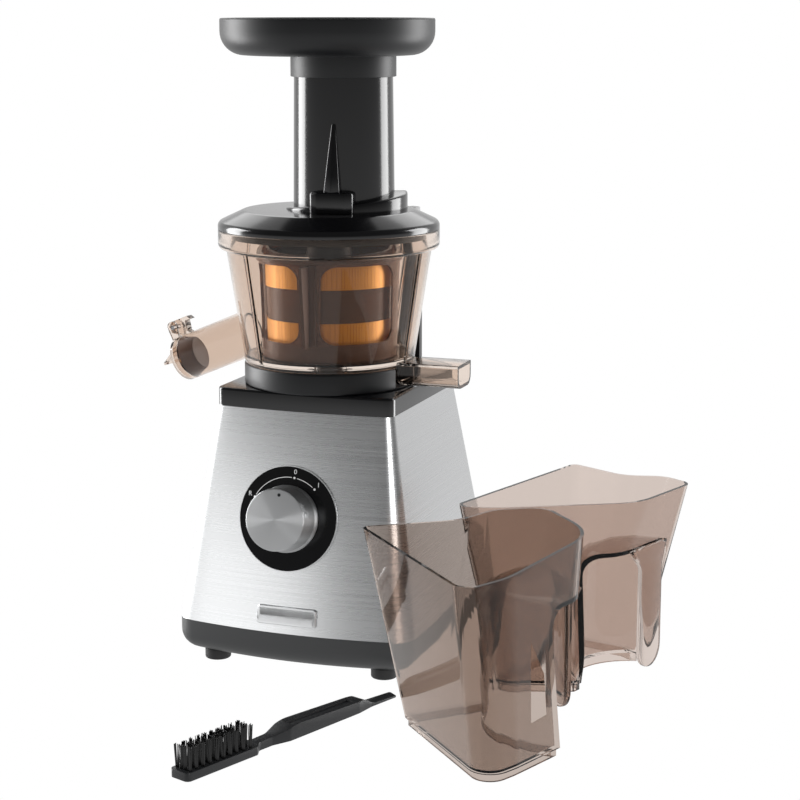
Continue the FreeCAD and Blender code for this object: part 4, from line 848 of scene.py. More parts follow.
class JUICER_OT_controls(bpy.types.Operator):
    """Dial, its marks, the knob and the blank plate"""

    bl_idname = "juicer.controls"
    bl_label = "Controls"

    def execute(self, context):
        self.dial()
        self.marks()
        self.knob()
        self.plate()
        return {"FINISHED"}

    def dial(self):
        """The black face, in rings so that it bends with the front, and its bright rim."""
        steps = sizes().steps
        rings = []
        for radius, out in (
            (DIAL_R, -DIAL_SUNK), (DIAL_R, PLATE_PROUD - DIAL_EDGE), (DIAL_R - DIAL_EDGE, PLATE_PROUD),
            (DIAL_R * 0.75, PLATE_PROUD), (DIAL_R * 0.5, PLATE_PROUD), (DIAL_R * 0.25, PLATE_PROUD),
        ):
            rings.append([polar(radius, 360.0 * i / steps, out) for i in range(steps)])
        face = laid_on_front(skin(rings), DIAL_X, DIAL_Z)
        piece(face, "dial_face", "base", "gloss_black", ["dial_plate"])
        rim_r = DIAL_R + DIAL_RIM_W
        rim = [(DIAL_R, -DIAL_SUNK), (rim_r, -DIAL_SUNK), (rim_r, PLATE_PROUD), (DIAL_R, PLATE_PROUD)]
        piece(laid_on_front(spun(rim), DIAL_X, DIAL_Z), "dial_rim", "base", "plate_metal")

    def marks(self):
        """White dots, figures and the arcs between them."""
        out = PLATE_PROUD + MARK_PROUD
        low = out - MARK_T
        parts = []
        for mark, turn in MARK_TURNS.items():
            dot = barrel(MARK_DOT_R, low, out, steps=16)
            parts.append(placed(dot, Matrix.Translation(polar(MARK_R, 90 - turn))))
            parts.append(self.figure(mark, polar(MARK_TEXT_R, 90 - turn, out)))
        for start, end in MARK_ARCS:
            start, end = math.radians(90 - start), math.radians(90 - end)
            points = arc(0, 0, MARK_R - MARK_LINE, start, end, 24)
            points += arc(0, 0, MARK_R + MARK_LINE, end, start, 24)
            parts.append(prism(points, low, out))
        drawn = laid_on_front(joined(parts), DIAL_X, DIAL_Z)
        piece(drawn, "dial_marks", "base", "plate_metal", look="print")

    def figure(self, mark, spot):
        """One printed figure, centred on a spot of the dial."""
        text = bpy.data.curves.new(mark, "FONT")
        text.body = mark
        text.size = MARK_SIZE
        text.align_x = "CENTER"
        text.align_y = "CENTER"
        holder = linked(mark, text)
        bpy.context.view_layer.update()
        bm = bmesh.new()
        bm.from_mesh(holder.to_mesh())
        bpy.data.curves.remove(text)
        return placed(bm, Matrix.Translation(spot))

    def knob(self):
        low, high = KNOB_LOW, KNOB_LOW + KNOB_H
        skirt_r = KNOB_R + KNOB_SKIRT
        profile = rounded([
            (0, low, 0), (skirt_r, low, 0.3), (skirt_r, low + 2, 0.6), (KNOB_R, low + 3.5, 1.0),
            (KNOB_R - 0.6, high, 0.9), (0, high, 0)], 4)
        turning = spun(profile, KNOB_STEPS)
        piece(placed(turning, dial_matrix()), "knob", "knob", "spun_knob", ["switch_knob"])
        spot = polar(POINTER_OUT, 90 - MARK_TURNS["0"])
        dot = barrel(POINTER_R, high - 0.4, high + 0.05, (spot.x, spot.y), 24)
        piece(placed(dot, dial_matrix()), "knob_pointer", "knob", "black_rubber")

    def plate(self):
        """The bare raised plate, with a rim round its face."""
        rings = []
        for inset, out in ((0, -0.3), (0, 1.0), (0.5, 1.5), (1.6, 1.5), (2.0, 1.1)):
            h, r = PLATE_H / 2 - inset, max(PLATE_CORNER - inset, 0.6)
            points = rounded(box_corners(PLATE_W / 2 - inset, -h, h, r, r), 5)
            rings.append([Vector((a, b, out)) for a, b in points])
        piece(laid_on_front(skin(rings), 0, PLATE_Z), "blank_plate", "base", "plate_metal", ["nameplate"])


class JUICER_OT_bowl(bpy.types.Operator):
    """Seat ring, clear bowl, spouts and flip cap"""

    bl_idname = "juicer.bowl"
    bl_label = "Bowl"

    def execute(self, context):
        low, high = CAP_TOP_Z, SEAT_TOP_Z
        ring = spun(rounded([
            (SEAT_IN_R, low, 0), (SEAT_R, low, 1.5), (SEAT_R, high, 1.5), (SEAT_IN_R, high, 0.6)], 5))
        side = PULP_HALF + 1
        notch = block((10, SEAT_R + 10), (PULP_Y - side, PULP_Y + side), (PULP_LOW_Z - 1, high + 1))
        piece(carved(ring, [notch]), "seat_ring", "base", "satin_black", ["bowl_seat"])
        piece(self.bowl(), "clear_bowl", "bowl", "clear_brown", ["bowl"], sharp=30)
        cup_r = JUICE_R - FLIP_WALL
        face = FLIP_RIM - FLIP_FACE
        cup = spun(rounded([
            (cup_r, FLIP_GAP, 0), (JUICE_R, FLIP_GAP, 0), (JUICE_R, FLIP_RIM, 1.0), (0, FLIP_RIM, 0),
            (0, face, 0), (cup_r, face, 0)], 3))
        cap = placed(joined([cup] + self.cap_arms()), juice_matrix())
        piece(cap, "flip_cap", "flip_cap", "clear_brown", ["spout_cap"])
        plug = spun(rounded([
            (0, -PLUG_L, 0), (PLUG_TIP_R, -PLUG_L, 0.8), (PLUG_R, FLIP_GAP, 0),
            (PLUG_R, FLIP_GAP + PLUG_HEAD, 0.4), (0, FLIP_GAP + PLUG_HEAD, 0)], 3))
        piece(placed(plug, juice_matrix()), "flip_plug", "flip_cap", "soft_seal", ["spout_plug"])
        return {"FINISHED"}

    def cap_arms(self):
        """Two arms to the pivot and the thumb tab."""
        root, tip = JUICE_R - 2.5, PIVOT_UP + EYE_R
        parts = []
        for side in (-1, 1):
            inner, outer = sorted((side * ARM_IN, side * ARM_OUT))
            arm = rounded([
                (root, FLIP_RIM, 0), (root, 1.2, 0), (tip, PIVOT_OUT - EYE_R, 3.6),
                (tip, PIVOT_OUT + EYE_R, 3.6)], 6)
            parts.append(softened(slab(arm, inner, outer), 0.3, 2))
        face = FLIP_RIM
        tab = [(10, face - 0.5), (2, face + 14.5), (0.4, face + 14.5), (-0.6, face + 5), (-0.6, face - 0.5),
               (1, face - 0.5), (1.2, face + 4), (2.2, face + 10.5), (8, face - 0.5)]
        parts.append(softened(slab(tab, -TAB_HALF, TAB_HALF), 0.25, 2))
        return parts

    def bowl(self):
        """The shell with its spouts and ribs added, then the ways through both spouts cut."""
        added = [self.juice_spout(), self.lug(), self.pulp_spout()] + self.ribs()
        body = carved(self.shell(), added, "UNION")
        bore = placed(barrel(JUICE_R - JUICE_WALL - 0.15, -JUICE_L - 14, -JUICE_L / 2), juice_matrix())
        sides = (-CUT_REACH, CUT_REACH)
        chamber = block((-99, 0), sides, (FLOOR_Z, STRAINER_TOP_Z - 6))
        bore = carved(bore, [chamber], "INTERSECT")
        way = self.pulp_bar(PULP_WALL, BOWL_LOW_R - 8, 70)
        roof = block((CUT_REACH, 2 * CUT_REACH), sides, (170, FLOOR_LOW_Z - 0.2))
        way = carved(way, [roof], "INTERSECT")
        return carved(body, [bore, way])

    def shell(self):
        inner_top = wall_r(FLANGE_Z) - BOWL_WALL
        floor_r = wall_r(FLOOR_Z) - BOWL_WALL
        foot_r = BOWL_LOW_R - BOWL_WALL
        spigot_r = SPIGOT_R - SPIGOT_WALL
        low = FLOOR_LOW_Z
        return spun(rounded([
            (HUB_BORE_R, low - HUB_DOWN, 0), (HUB_R, low - HUB_DOWN, 0), (HUB_R, low, 0), (spigot_r, low, 0),
            (spigot_r, low - SPIGOT_H, 0), (SPIGOT_R, low - SPIGOT_H, 0.8), (SPIGOT_R, low, 0),
            (foot_r, low, 0), (foot_r, SEAT_TOP_Z, 0), (BOWL_LOW_R, SEAT_TOP_Z, 0.8),
            (wall_r(FLANGE_Z), FLANGE_Z, 1.2), (FLANGE_R, FLANGE_Z, 3.0), (FLANGE_R, BOWL_TOP_Z, 0.8),
            (inner_top, BOWL_TOP_Z, 0.8), (inner_top, FLANGE_Z, 0), (floor_r, FLOOR_Z, 2.5),
            (HUB_R, FLOOR_Z, 0), (HUB_R, FLOOR_Z + HUB_UP, 0.6), (HUB_BORE_R, FLOOR_Z + HUB_UP, 0)], 5))

    def juice_spout(self):
        """The round spout, cut off at the bowl's wall and clear of the seat."""
        outside = spun([
            (0, CAP_TOP_Z), (wall_r(CAP_TOP_Z) - 1, CAP_TOP_Z), (wall_r(FLANGE_Z) - 1, FLANGE_Z),
            (0, FLANGE_Z)])
        bore_r = JUICE_R - JUICE_WALL
        tube = spun(rounded([
            (bore_r, -JUICE_L, 0), (JUICE_R, -JUICE_L, 0), (JUICE_R, 0, 0.5), (bore_r, 0, 0.5)], 2))
        seat = barrel(SEAT_R + 0.6, CAP_TOP_Z, SEAT_TOP_Z + 0.3)
        return carved(placed(tube, juice_matrix()), [outside, seat])

    def lug(self):
        """The ear over the juice spout that holds the cap's pin."""
        up, out, top = PIVOT_UP, PIVOT_OUT, PIVOT_UP + EYE_R
        lug = slab([
            (JUICE_R - 1, -9), (JUICE_R - 1, -1.5), (up - 3, out + 3), (up + 1.5, out + 3.5), (top, out),
            (top, -9), (up + 1.5, -11), (up + 1.5, -6.5), (JUICE_R + 1.5, -5.5)], -LUG_HALF, LUG_HALF)
        return placed(softened(lug, 0.4, 2), juice_matrix())

    def pulp_spout(self):
        """The square spout, cut back to the bowl's wall."""
        channel = self.pulp_bar(0, BOWL_LOW_R - 5.5, PULP_END_X)
        channel = carved(channel, [self.pulp_bar(PULP_WALL, CUT_REACH, PULP_END_X + 2)])
        return carved(channel, [barrel(wall_r(SEAT_TOP_Z + 2) - 1.2, CAP_TOP_Z, FLOOR_Z + 20)])

    def pulp_bar(self, inset, x0, x1):
        """A bar with the pulp spout's section, or its inner section."""
        low, high = PULP_LOW_Z + inset, PULP_HIGH_Z - inset
        low_r, high_r = (PULP_CORNER - PULP_WALL, 0.4) if inset else (PULP_CORNER, 0.8)
        points = rounded(box_corners(PULP_HALF - inset, low, high, low_r, high_r), 5)
        return beam([(PULP_Y + a, b) for a, b in points], x0, x1)

    def ribs(self):
        low = SEAT_TOP_Z + 3
        low_r, top_r = wall_r(low) - 0.4, wall_r(FLANGE_Z) - 0.4
        top = FLANGE_Z + 0.4
        outline = [(low_r, low), (low_r + RIB_PROUD, low + 1.8), (top_r + RIB_PROUD, top), (top_r, top)]
        return [turned(softened(slab(outline, -RIB_W / 2, RIB_W / 2), 0.4, 2), angle) for angle in RIB_ANGLES]


class JUICER_OT_strainer(bpy.types.Operator):
    """Strainer, gold screens, turning wiper frame and auger"""

    bl_idname = "juicer.strainer"
    bl_label = "Strainer"

    def execute(self, context):
        low, high = FLOOR_Z + STRAINER_UP, STRAINER_TOP_Z
        body = spun([
            (STRAINER_HUB_R, low), (strainer_r(low), low), (strainer_r(high), high),
            (strainer_r(high) - STRAINER_WALL, high),
            (strainer_r(low) - STRAINER_WALL, low + STRAINER_FLOOR),
            (STRAINER_HUB_R, low + STRAINER_FLOOR)])
        piece(body, "strainer_cage", "bowl", "dark_brown", ["strainer_frame"])
        for node, (low_z, high_z) in SCREENS.items():
            low_r, high_r = strainer_r(low_z), strainer_r(high_z)
            band = spun(rounded([
                (low_r - SCREEN_BACK, low_z, 0), (low_r + SCREEN_PROUD, low_z, 0),
                (high_r + SCREEN_PROUD, high_z, 0), (high_r - SCREEN_BACK, high_z, 0)], 1))
            piece(band, node + "_band", "bowl", "gold_screen", [node])
        piece(self.wiper(), "wiper_cage", "wiper", "dark_brown", ["wiper_frame"])
        piece(self.auger(), "auger_screw", "auger", "satin_black", ["auger"], look="screw")
        return {"FINISHED"}

    def wiper(self):
        """The turning cage: four windows, a lip at its top and the ring gear's teeth at its foot."""
        low = FLOOR_Z + RUN_GAP
        gear_top = low + RING_GEAR_H
        tip, root = RING_MODULE * (RING_TEETH / 2 - 0.8), RING_MODULE * (RING_TEETH / 2 + 1.1)

        def inner(z):
            return strainer_r(z) + WIPER_GAP

        rim = WIPER_TOP_Z - WIPER_LIP_H
        shell = spun(rounded([
            (root, low, 0), (inner(low) + WIPER_WALL, low, 0.4), (inner(rim) + WIPER_WALL, rim, 0),
            (inner(rim) + WIPER_LIP, rim, 0.4), (inner(rim) + WIPER_LIP, WIPER_TOP_Z, 0.4),
            (inner(WIPER_TOP_Z), WIPER_TOP_Z, 0.4), (inner(gear_top), gear_top, 0), (root, gear_top, 0)], 3))
        points = rounded(box_corners(WINDOW_HALF, *WINDOW_Z, WINDOW_CORNER, WINDOW_CORNER), 8)
        windows = []
        for i in range(WIPER_WINDOWS):
            window = beam(points, STRAINER_LOW_R - 14, BOWL_TOP_R - 1)
            windows.append(turned(window, WIPER_FIRST + 360 / WIPER_WINDOWS * (i + 0.5)))
        outline = []
        for i in range(RING_TEETH):
            centre = 90 + 360.0 * i / RING_TEETH
            for radius, off in ((root, -3.2), (tip, -1.5), (tip, 1.5), (root, 3.2)):
                outline.append(polar(radius, centre + off + 180.0 / RING_TEETH))
        inner_ring = [[Vector((p.x, p.y, z)) for p in outline] for z in (low, gear_top)]
        outer_ring = []
        for z in (gear_top, low):
            outer_ring.append([p.normalized() * (root + 0.3) + Vector((0, 0, z)) for p in outline])
        teeth = skin(inner_ring + outer_ring, closed=True)
        return joined([carved(shell, windows), teeth])

    def auger(self):
        """A core that tapers upward with one flight wound round it."""
        rings = []
        for i in range(AUGER_STEPS + 1):
            share = i / AUGER_STEPS
            core = between(*AUGER_CORE, share ** 0.9)
            z = between(AUGER_LOW_Z, AUGER_TOP_Z, share)
            ring = []
            for j in range(AUGER_AROUND):
                angle = 360.0 * j / AUGER_AROUND - 180.0
                ramp = min(max((abs(angle) - FLIGHT_HALF) / FLIGHT_FLANK, 0.0), 1.0)
                ring.append(polar(between(AUGER_R, core, ramp), angle - AUGER_TURN * share, z))
            rings.append(ring)
        neck = barrel(AUGER_NECK_R, FLOOR_Z + RUN_GAP, AUGER_LOW_Z + 0.2)
        pin = barrel(AUGER_PIN_R, AUGER_TOP_Z - 0.2, LID_TOP_Z - LID_WALL, steps=32)
        return joined([skin(rings), neck, pin])


class JUICER_OT_lid(bpy.types.Operator):
    """Lid with its feed chute, and the tray on top"""

    bl_idname = "juicer.lid"
    bl_label = "Lid and tray"

    def execute(self, context):
        bore = (CHUTE.x, CHUTE.y)
        shift = Matrix.Translation(CHUTE)
        front = [placed(turned(part, FIN_TURN), shift) for part in (self.keeper(), self.fin())]
        parts = [self.dome(bore), self.chute(bore), placed(self.ramp(), shift), self.tab()] + front
        piece(joined(parts), "lid_and_chute", "lid", "gloss_black", ["lid"])
        piece(self.tray(bore), "tray", "tray", "satin_black", ["hopper_tray"])
        return {"FINISHED"}

    def dome(self, bore):
        under, rim_top, low = LID_TOP_Z - LID_WALL, BOWL_TOP_Z + LID_RIM_H, BOWL_TOP_Z - LIP_H
        lip_r = wall_r(FLANGE_Z) - BOWL_WALL - LIP_GAP
        lip_in_r = lip_r - LIP_WALL
        dome = spun(rounded([
            (0, under, 0), (LID_SHOULDER_R - 1, under, 0), (lip_in_r, rim_top + 1.5, 0), (lip_in_r, low, 0),
            (lip_r, low, 0.6), (lip_r, BOWL_TOP_Z, 0), (FLANGE_R, BOWL_TOP_Z, 0.6), (FLANGE_R, rim_top, 4.0),
            (LID_SHOULDER_R, LID_TOP_Z, 6), (0, LID_TOP_Z, 0)], 8), ROUND_STEPS)
        return carved(dome, [barrel(CHUTE_BORE_R + 0.5, BOWL_TOP_Z, LID_TOP_Z + 2, bore)])

    def chute(self, bore):
        low = LID_TOP_Z - 2
        return spun(rounded([
            (CHUTE_BORE_R, low, 0), (CHUTE_LOW_R, low, 0), (CHUTE_TOP_R, CHUTE_TOP_Z, 0),
            (CHUTE_BORE_R, CHUTE_TOP_Z, 0)], 1), ROUND_STEPS, bore)

    def tab(self):
        """The small grip on the lid's rim."""
        rim_top = BOWL_TOP_Z + LID_RIM_H
        tab = block((FLANGE_R - 6, FLANGE_R + 7.5), (-4, 4), (rim_top, rim_top + 4))
        return turned(softened(tab, 0.6, 2), GRIP_TURN)

    def tray(self, bore):
        """The dish, bored for the chute, and the collar under it."""
        low, top, wall = CHUTE_TOP_Z, TRAY_TOP_Z, TRAY_WALL
        dish = spun(rounded([
            (0, low, 0), (TRAY_R, low, TRAY_EDGE_R), (TRAY_R, top, 1.1), (TRAY_R - wall, top, 1.1),
            (TRAY_R - wall, low + wall, TRAY_EDGE_R - wall), (0, low + wall, 0)], 10), TRAY_STEPS)
        dish = carved(dish, [barrel(CHUTE_BORE_R, low - 1, top, bore, ROUND_STEPS)])
        fit_r = between(CHUTE_LOW_R, CHUTE_TOP_R, 0.86) + 0.3
        foot = low - COLLAR_H
        collar = spun(rounded([
            (fit_r, foot, 0), (COLLAR_R, foot, 0.4), (COLLAR_R, low + 0.5, 0), (fit_r, low + 0.5, 0)], 2),
            ROUND_STEPS, bore)
        return joined([dish, collar])

    def keeper(self):
        """The block at the foot of the chute, with a faceted face."""
        half, edge = KEEPER_HALF, KEEPER_HALF - 5
        near, reach = CHUTE_LOW_R - 3, CHUTE_LOW_R + 12
        points = [(near, -half, 0), (reach - 3, -half, 3), (reach, -edge, 2), (reach, edge, 2),
                  (reach - 3, half, 3), (near, half, 0)]
        return softened(prism(rounded(points, 4), LID_TOP_Z - 1, LID_TOP_Z + KEEPER_H), 1.8, 4, 50)

    def fin(self):
        """The ridge that rises from the keeper up the chute."""
        low, high = LID_TOP_Z + FIN_LOW, LID_TOP_Z + FIN_HIGH
        near = CHUTE_LOW_R - 2.5
        rings = []
        for half, out, z in ((5.2, 13.0, low), (3.3, 8.0, between(low, high, 0.5)), (1.3, 2.9, high)):
            shoulder = near + out * 0.8
            outline = ((near, half), (near, -half), (shoulder, -half), (near + out, 0), (shoulder, half))
            rings.append([Vector((x, y, z)) for x, y in outline])
        return softened(skin(rings), 0.5, 2, 30)

    def ramp(self):
        """The rising ledge round the foot of the chute."""
        steps = 36
        near, low = CHUTE_LOW_R - 1.9, LID_TOP_Z - 1
        rings = []
        for i in range(steps + 1):
            share = i / steps
            angle = between(*RAMP_TURNS, share)
            rise = between(*RAMP_RISE, share)
            top = LID_TOP_Z + rise
            out = between(CHUTE_LOW_R + 5, RAMP_R, min(1.0, share * 2.5))
            spots = rounded([
                (near, low, 0), (out, low, 0), (out, top, min(2.0, rise * 0.6)), (near, top, 0)], 4)
            rings.append([polar(r, angle, z) for r, z in spots])
        return skin(rings)


class JUICER_OT_jugs(bpy.types.Operator):
    """The two catch jugs"""

    bl_idname = "juicer.jugs"
    bl_label = "Jugs"

    def execute(self, context):
        for name, (x, y, turn, depth) in JUG_PLACES.items():
            bm = self.jug(depth)
            matrix = Matrix.Translation((x, y, 0)) @ Matrix.Rotation(math.radians(turn), 4, "Z")
            look = "jug_dark" if name == "juice_jug" else "jug_brown"
            piece(placed(bm, matrix), name + "_clear", name, "clear_brown", [name], 30, look)
        return {"FINISHED"}

    def ring(self, depth, share, inset, z=None):
        """Outline of a jug at a share of its height, its sides moved inward."""
        corners = []
        for (u0, v0, r0), (u1, v1, r1) in zip(JUG_BASE, JUG_RIM):
            u, v, radius = between(u0, u1, share), between(v0, v1, share), between(r0, r1, share)
            corners.append((u * depth, v, radius * depth))
        height = between(JUG_FOOT_H, JUG_H, share) if z is None else z
        return [Vector((a, b, height)) for a, b in rounded(self.inset(corners, inset), 10)]

    def inset(self, corners, amount):
        """Move every side of the outline inward."""
        spots = [Vector(corner[:2]) for corner in corners]
        area = sum(a.x * b.y - b.x * a.y for a, b in zip(spots, spots[1:] + spots[:1]))
        sense = 1 if area > 0 else -1
        moved = []
        for i, (_, _, radius) in enumerate(corners):
            here = spots[i]
            arrive = (here - spots[i - 1]).normalized()
            leave = (spots[(i + 1) % len(spots)] - here).normalized()
            normal_a = Vector((-arrive.y, arrive.x)) * sense
            normal_b = Vector((-leave.y, leave.x)) * sense
            middle = (normal_a + normal_b).normalized()
            spot = here + middle * (amount / middle.dot(normal_a))
            bend = (arrive.x * leave.y - arrive.y * leave.x) * sense
            moved.append((spot.x, spot.y, max(radius - amount, 0.8) if bend > 0 else radius + amount))
        return moved

    def pocket(self, depth, grow):
        """The round hollow behind the grip, as a cutter."""
        u, v, radius, top, edge = JUG_POCKET
        radius, top, edge = radius * depth + grow, top + grow, edge + grow
        profile = rounded([(0, -1, 0), (radius, -1, 0), (radius, top, edge), (0, top, 0)], 6)
        return spun(profile, 96, (u * depth, v))

    def jug(self, depth):
        """The wall with its foot, pocket, room and under-hollow, then the grip."""
        foot_in = JUG_FOOT_INSET + JUG_WALL
        outer = skin([self.ring(depth, 0, 0), self.ring(depth, 1, 0)])
        foot = skin([
            self.ring(depth, 0, JUG_FOOT_INSET, 0), self.ring(depth, 0, JUG_FOOT_INSET, JUG_FOOT_H + 0.1)])
        body = carved(outer, [foot], "UNION")
        body = carved(body, [self.pocket(depth, 0)])
        share = JUG_WALL / (JUG_H - JUG_FOOT_H)
        room = carved(skin([self.ring(depth, share, JUG_WALL), self.ring(depth, 1.02, JUG_WALL)]),
                      [self.pocket(depth, JUG_WALL)])
        under = carved(skin([self.ring(depth, 0, foot_in, -1), self.ring(depth, 0, foot_in, JUG_FOOT_H)]),
                       [self.pocket(depth, JUG_WALL)])
        body = carved(body, [room, under])
        return carved(body, [self.grip(depth)], "UNION")

    def grip(self, depth):
        """The strip that hangs from the nose."""
        half, u = GRIP_W / 2, GRIP_U * depth
        top = JUG_POCKET[3] + 1.1
        bend = top - GRIP_BEND
        points = rounded([
            (GRIP_V - half, 6, half - 0.1), (GRIP_V + half, 6, half - 0.1), (GRIP_V + half, bend, 8),
            (GRIP_V + half + 6, top, 0), (GRIP_V - half - 12, top, 0), (GRIP_V - half, bend, 8)], 8)
        return softened(beam(points, u, u + GRIP_T), 0.8, 2, 60)


class JUICER_OT_brush(bpy.types.Operator):
    """Cleaning brush with bundles of bristles"""

    bl_idname = "juicer.brush"
    bl_label = "Brush"

    def execute(self, context):
        plan = [
            (0, -7.5, 3), (55, -7.5, 2.5), (60, -3.5, 4), (71, -3.5, 5), (83, -6.5, 9), (144, -6, 9),
            (157, -4, 6), (180, -4, 1), (183, 4, 1), (157, 4, 6), (144, 6, 9), (83, 6.5, 9),
            (71, 3.5, 5), (60, 3.5, 4), (55, 7.5, 2.5), (0, 7.5, 3)]
        side = [
            (-1, 0, 0), (184, 0, 0), (184, 0.8, 0), (159, 2, 8), (149, 7.2, 8), (89, 9, 30), (73, 5.5, 12),
            (55, 5, 12), (-1, 5, 0)]
        handle = carved(prism(rounded(plan, 5), -1, 20), [slab(rounded(side, 5), -20, 20)], "INTERSECT")
        groove = slab([(87, 7.2), (141, 6.6), (141, 20), (87, 20)], -GROOVE_HALF, GROOVE_HALF)
        handle = carved(handle, [groove])
        handle = placed(softened(handle, 0.45, 2, 50), BRUSH_PLACE)
        piece(handle, "brush_stick", "cleaning_brush", "gloss_black", ["brush_handle"], look="satin_black")
        random.seed(4)
        radius = sizes().bristle / MM
        parts = []
        for row in range(TUFT_ROWS):
            for column in range(TUFT_COLUMNS):
                x = 4 + column * BRUSH_HEAD_L / (TUFT_COLUMNS - 1)
                y = (row - (TUFT_ROWS - 1) / 2) * BRUSH_HEAD_W / (TUFT_ROWS - 1)
                for _ in range(BRISTLES):
                    parts.append(self.bristle(x, y, radius))
        tufts = placed(joined(parts), BRUSH_PLACE)
        piece(tufts, "brush_bristles", "cleaning_brush", "bristle_nylon", ["brush_tufts"])
        return {"FINISHED"}

    def bristle(self, x, y, radius):
        """One bristle, leaning a little out of its bundle."""
        turn = random.uniform(0, 2 * math.pi)
        out = random.uniform(0.1, 0.9)
        side, back = out * math.cos(turn), out * math.sin(turn)
        foot = Vector((x + side, y + back, BRUSH_HEAD_T - 0.3))
        tip = foot + Vector((side * 1.1, back * 1.1, TUFT_H * random.uniform(0.93, 1.0)))
        rings = []
        for spot, size in ((foot, 1.0), (tip, 0.7)):
            rings.append([spot + polar(radius * size, 90.0 * i) for i in range(4)])
        return skin(rings)


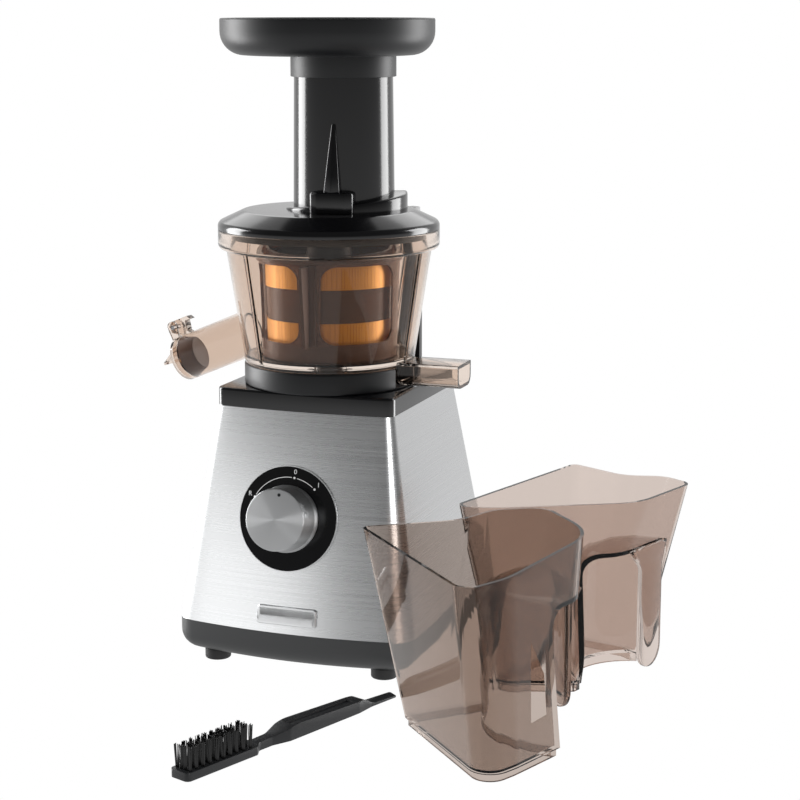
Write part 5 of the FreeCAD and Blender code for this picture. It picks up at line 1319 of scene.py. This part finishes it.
class JUICER_OT_stage(bpy.types.Operator):
    """Camera, lamps and the white surround"""

    bl_idname = "juicer.stage"
    bl_label = "Stage"

    def execute(self, context):
        scene = context.scene
        lens = bpy.data.cameras.new("camera")
        lens.lens = LENS_MM
        lens.sensor_width = SENSOR_MM
        lens.clip_end = 20.0
        camera = linked("camera", lens)
        camera.location = CAMERA_AT
        camera.rotation_euler = (math.radians(90 - CAMERA_DOWN), 0, math.radians(CAMERA_TURN))
        scene.camera = camera
        scene.view_settings.view_transform = "Standard"
        self.world(scene)
        groups = self.lit_groups()
        for name, turn, far, z, width, tall, radiance, lit in LAMPS:
            lamp = bpy.data.lights.new(name, "AREA")
            lamp.shape = "RECTANGLE"
            lamp.size = width
            lamp.size_y = tall
            lamp.energy = math.pi * width * tall * radiance
            made = linked(name, lamp)
            made.location = polar(far, turn, z)
            aim = Vector((0, 0, z * LAMP_AIM)) - made.location
            made.rotation_euler = aim.to_track_quat("-Z", "Y").to_euler()
            made.visible_camera = False
            made.visible_transmission = False
            made.light_linking.receiver_collection = groups[lit]
        return {"FINISHED"}

    def lit_groups(self):
        """Pieces by group: all that aren't clear, those lit from the front, all but steel and clear ones."""
        groups = {}
        for name in ("opaque", "steel base", "opaque but steel"):
            groups[name] = bpy.data.collections.new(name)
        clear = {MATERIALS[slot][0] for slot in CLEAR_LOOKS}
        for made in bpy.data.objects:
            if made.type != "MESH" or not made.data.materials:
                continue
            if made.data.materials[0].name in clear:
                # Light goes through the clear walls to what is inside
                made.visible_shadow = False
                continue
            groups["opaque"].objects.link(made)
            if made.name != "steel_body":
                groups["opaque but steel"].objects.link(made)
            if made.name in FRONT_LIT:
                groups["steel base"].objects.link(made)
        return groups

    def world(self, scene):
        """White behind the object, darker round the sides so that clear edges draw dark."""
        world = bpy.data.worlds.new("white surround")
        scene.world = world
        world.use_nodes = True
        tree = world.node_tree
        tree.nodes.clear()
        coords = add_node(tree, "ShaderNodeTexCoord")
        ray = coords.outputs["Generated"]
        facing = add_node(tree, "ShaderNodeVectorMath", {0: ray, 1: VIEW_AWAY}, operation="DOT_PRODUCT")
        ahead = facing.outputs["Value"]
        height = add_node(tree, "ShaderNodeSeparateXYZ", {0: ray})
        seen = add_node(tree, "ShaderNodeMapRange", {
            "Value": ahead, "From Min": 0.3, "From Max": 0.8, "To Min": CLEAR_GLOW[0],
            "To Max": CLEAR_GLOW[1]})
        wall = add_node(tree, "ShaderNodeMapRange", {
            "Value": ahead, "From Min": 0.1, "From Max": 0.6, "To Min": AHEAD_GLOW[0],
            "To Max": AHEAD_GLOW[1]})
        floor = add_node(tree, "ShaderNodeMapRange", {
            "Value": height.outputs["Z"], "From Min": 0.1, "From Max": -0.15, "To Max": FLOOR_GLOW})
        mirror = add_node(tree, "ShaderNodeMath", {
            0: wall.outputs[0], 1: floor.outputs[0]}, operation="MAXIMUM")
        path = add_node(tree, "ShaderNodeLightPath")
        # A ray that turns round inside a clear wall sees the same surround as one that passes through
        inside = add_node(tree, "ShaderNodeMix", {
            "Factor": path.outputs["Transmission Depth"], "A": mirror.outputs[0], "B": seen.outputs[0]})
        total = path.outputs["Is Camera Ray"]
        for glow, kind in (
            (seen.outputs[0], "Is Transmission Ray"), (DULL_GLOW, "Is Diffuse Ray"),
            (inside.outputs[0], "Is Glossy Ray"),
        ):
            share = add_node(tree, "ShaderNodeMath", {
                0: glow, 1: path.outputs[kind]}, operation="MULTIPLY")
            brighter = add_node(tree, "ShaderNodeMath", {
                0: total, 1: share.outputs[0]}, operation="MAXIMUM")
            total = brighter.outputs[0]
        shade = add_node(tree, "ShaderNodeBackground", {"Color": linear("#FFFFFF"), "Strength": total})
        add_node(tree, "ShaderNodeOutputWorld", {"Surface": shade.outputs[0]})


class JUICER_PT_panel(bpy.types.Panel):
    bl_label = "Cold press juicer"
    bl_idname = "JUICER_PT_panel"
    bl_space_type = "VIEW_3D"
    bl_region_type = "UI"
    bl_category = "Juicer"

    def draw(self, context):
        for group in (context.scene.juicer_colours, context.scene.juicer_sizes):
            for name in group.__annotations__:
                self.layout.prop(group, name)
        for operator in OPERATORS:
            self.layout.operator(operator.bl_idname)


GROUPS = (JuicerColours, JuicerSizes)
OPERATORS = (
    JUICER_OT_materials, JUICER_OT_base, JUICER_OT_controls, JUICER_OT_bowl, JUICER_OT_strainer,
    JUICER_OT_lid, JUICER_OT_jugs, JUICER_OT_brush, JUICER_OT_stage,
)


def register():
    for item in GROUPS + OPERATORS + (JUICER_PT_panel,):
        bpy.utils.register_class(item)
    bpy.types.Scene.juicer_colours = bpy.props.PointerProperty(type=JuicerColours)
    bpy.types.Scene.juicer_sizes = bpy.props.PointerProperty(type=JuicerSizes)


def unregister():
    del bpy.types.Scene.juicer_sizes
    del bpy.types.Scene.juicer_colours
    for item in reversed(GROUPS + OPERATORS + (JUICER_PT_panel,)):
        bpy.utils.unregister_class(item)


def main():
    register()
    for operator in OPERATORS:
        group, name = operator.bl_idname.split(".")
        getattr(getattr(bpy.ops, group), name)()


if __name__ == "__main__":
    main()
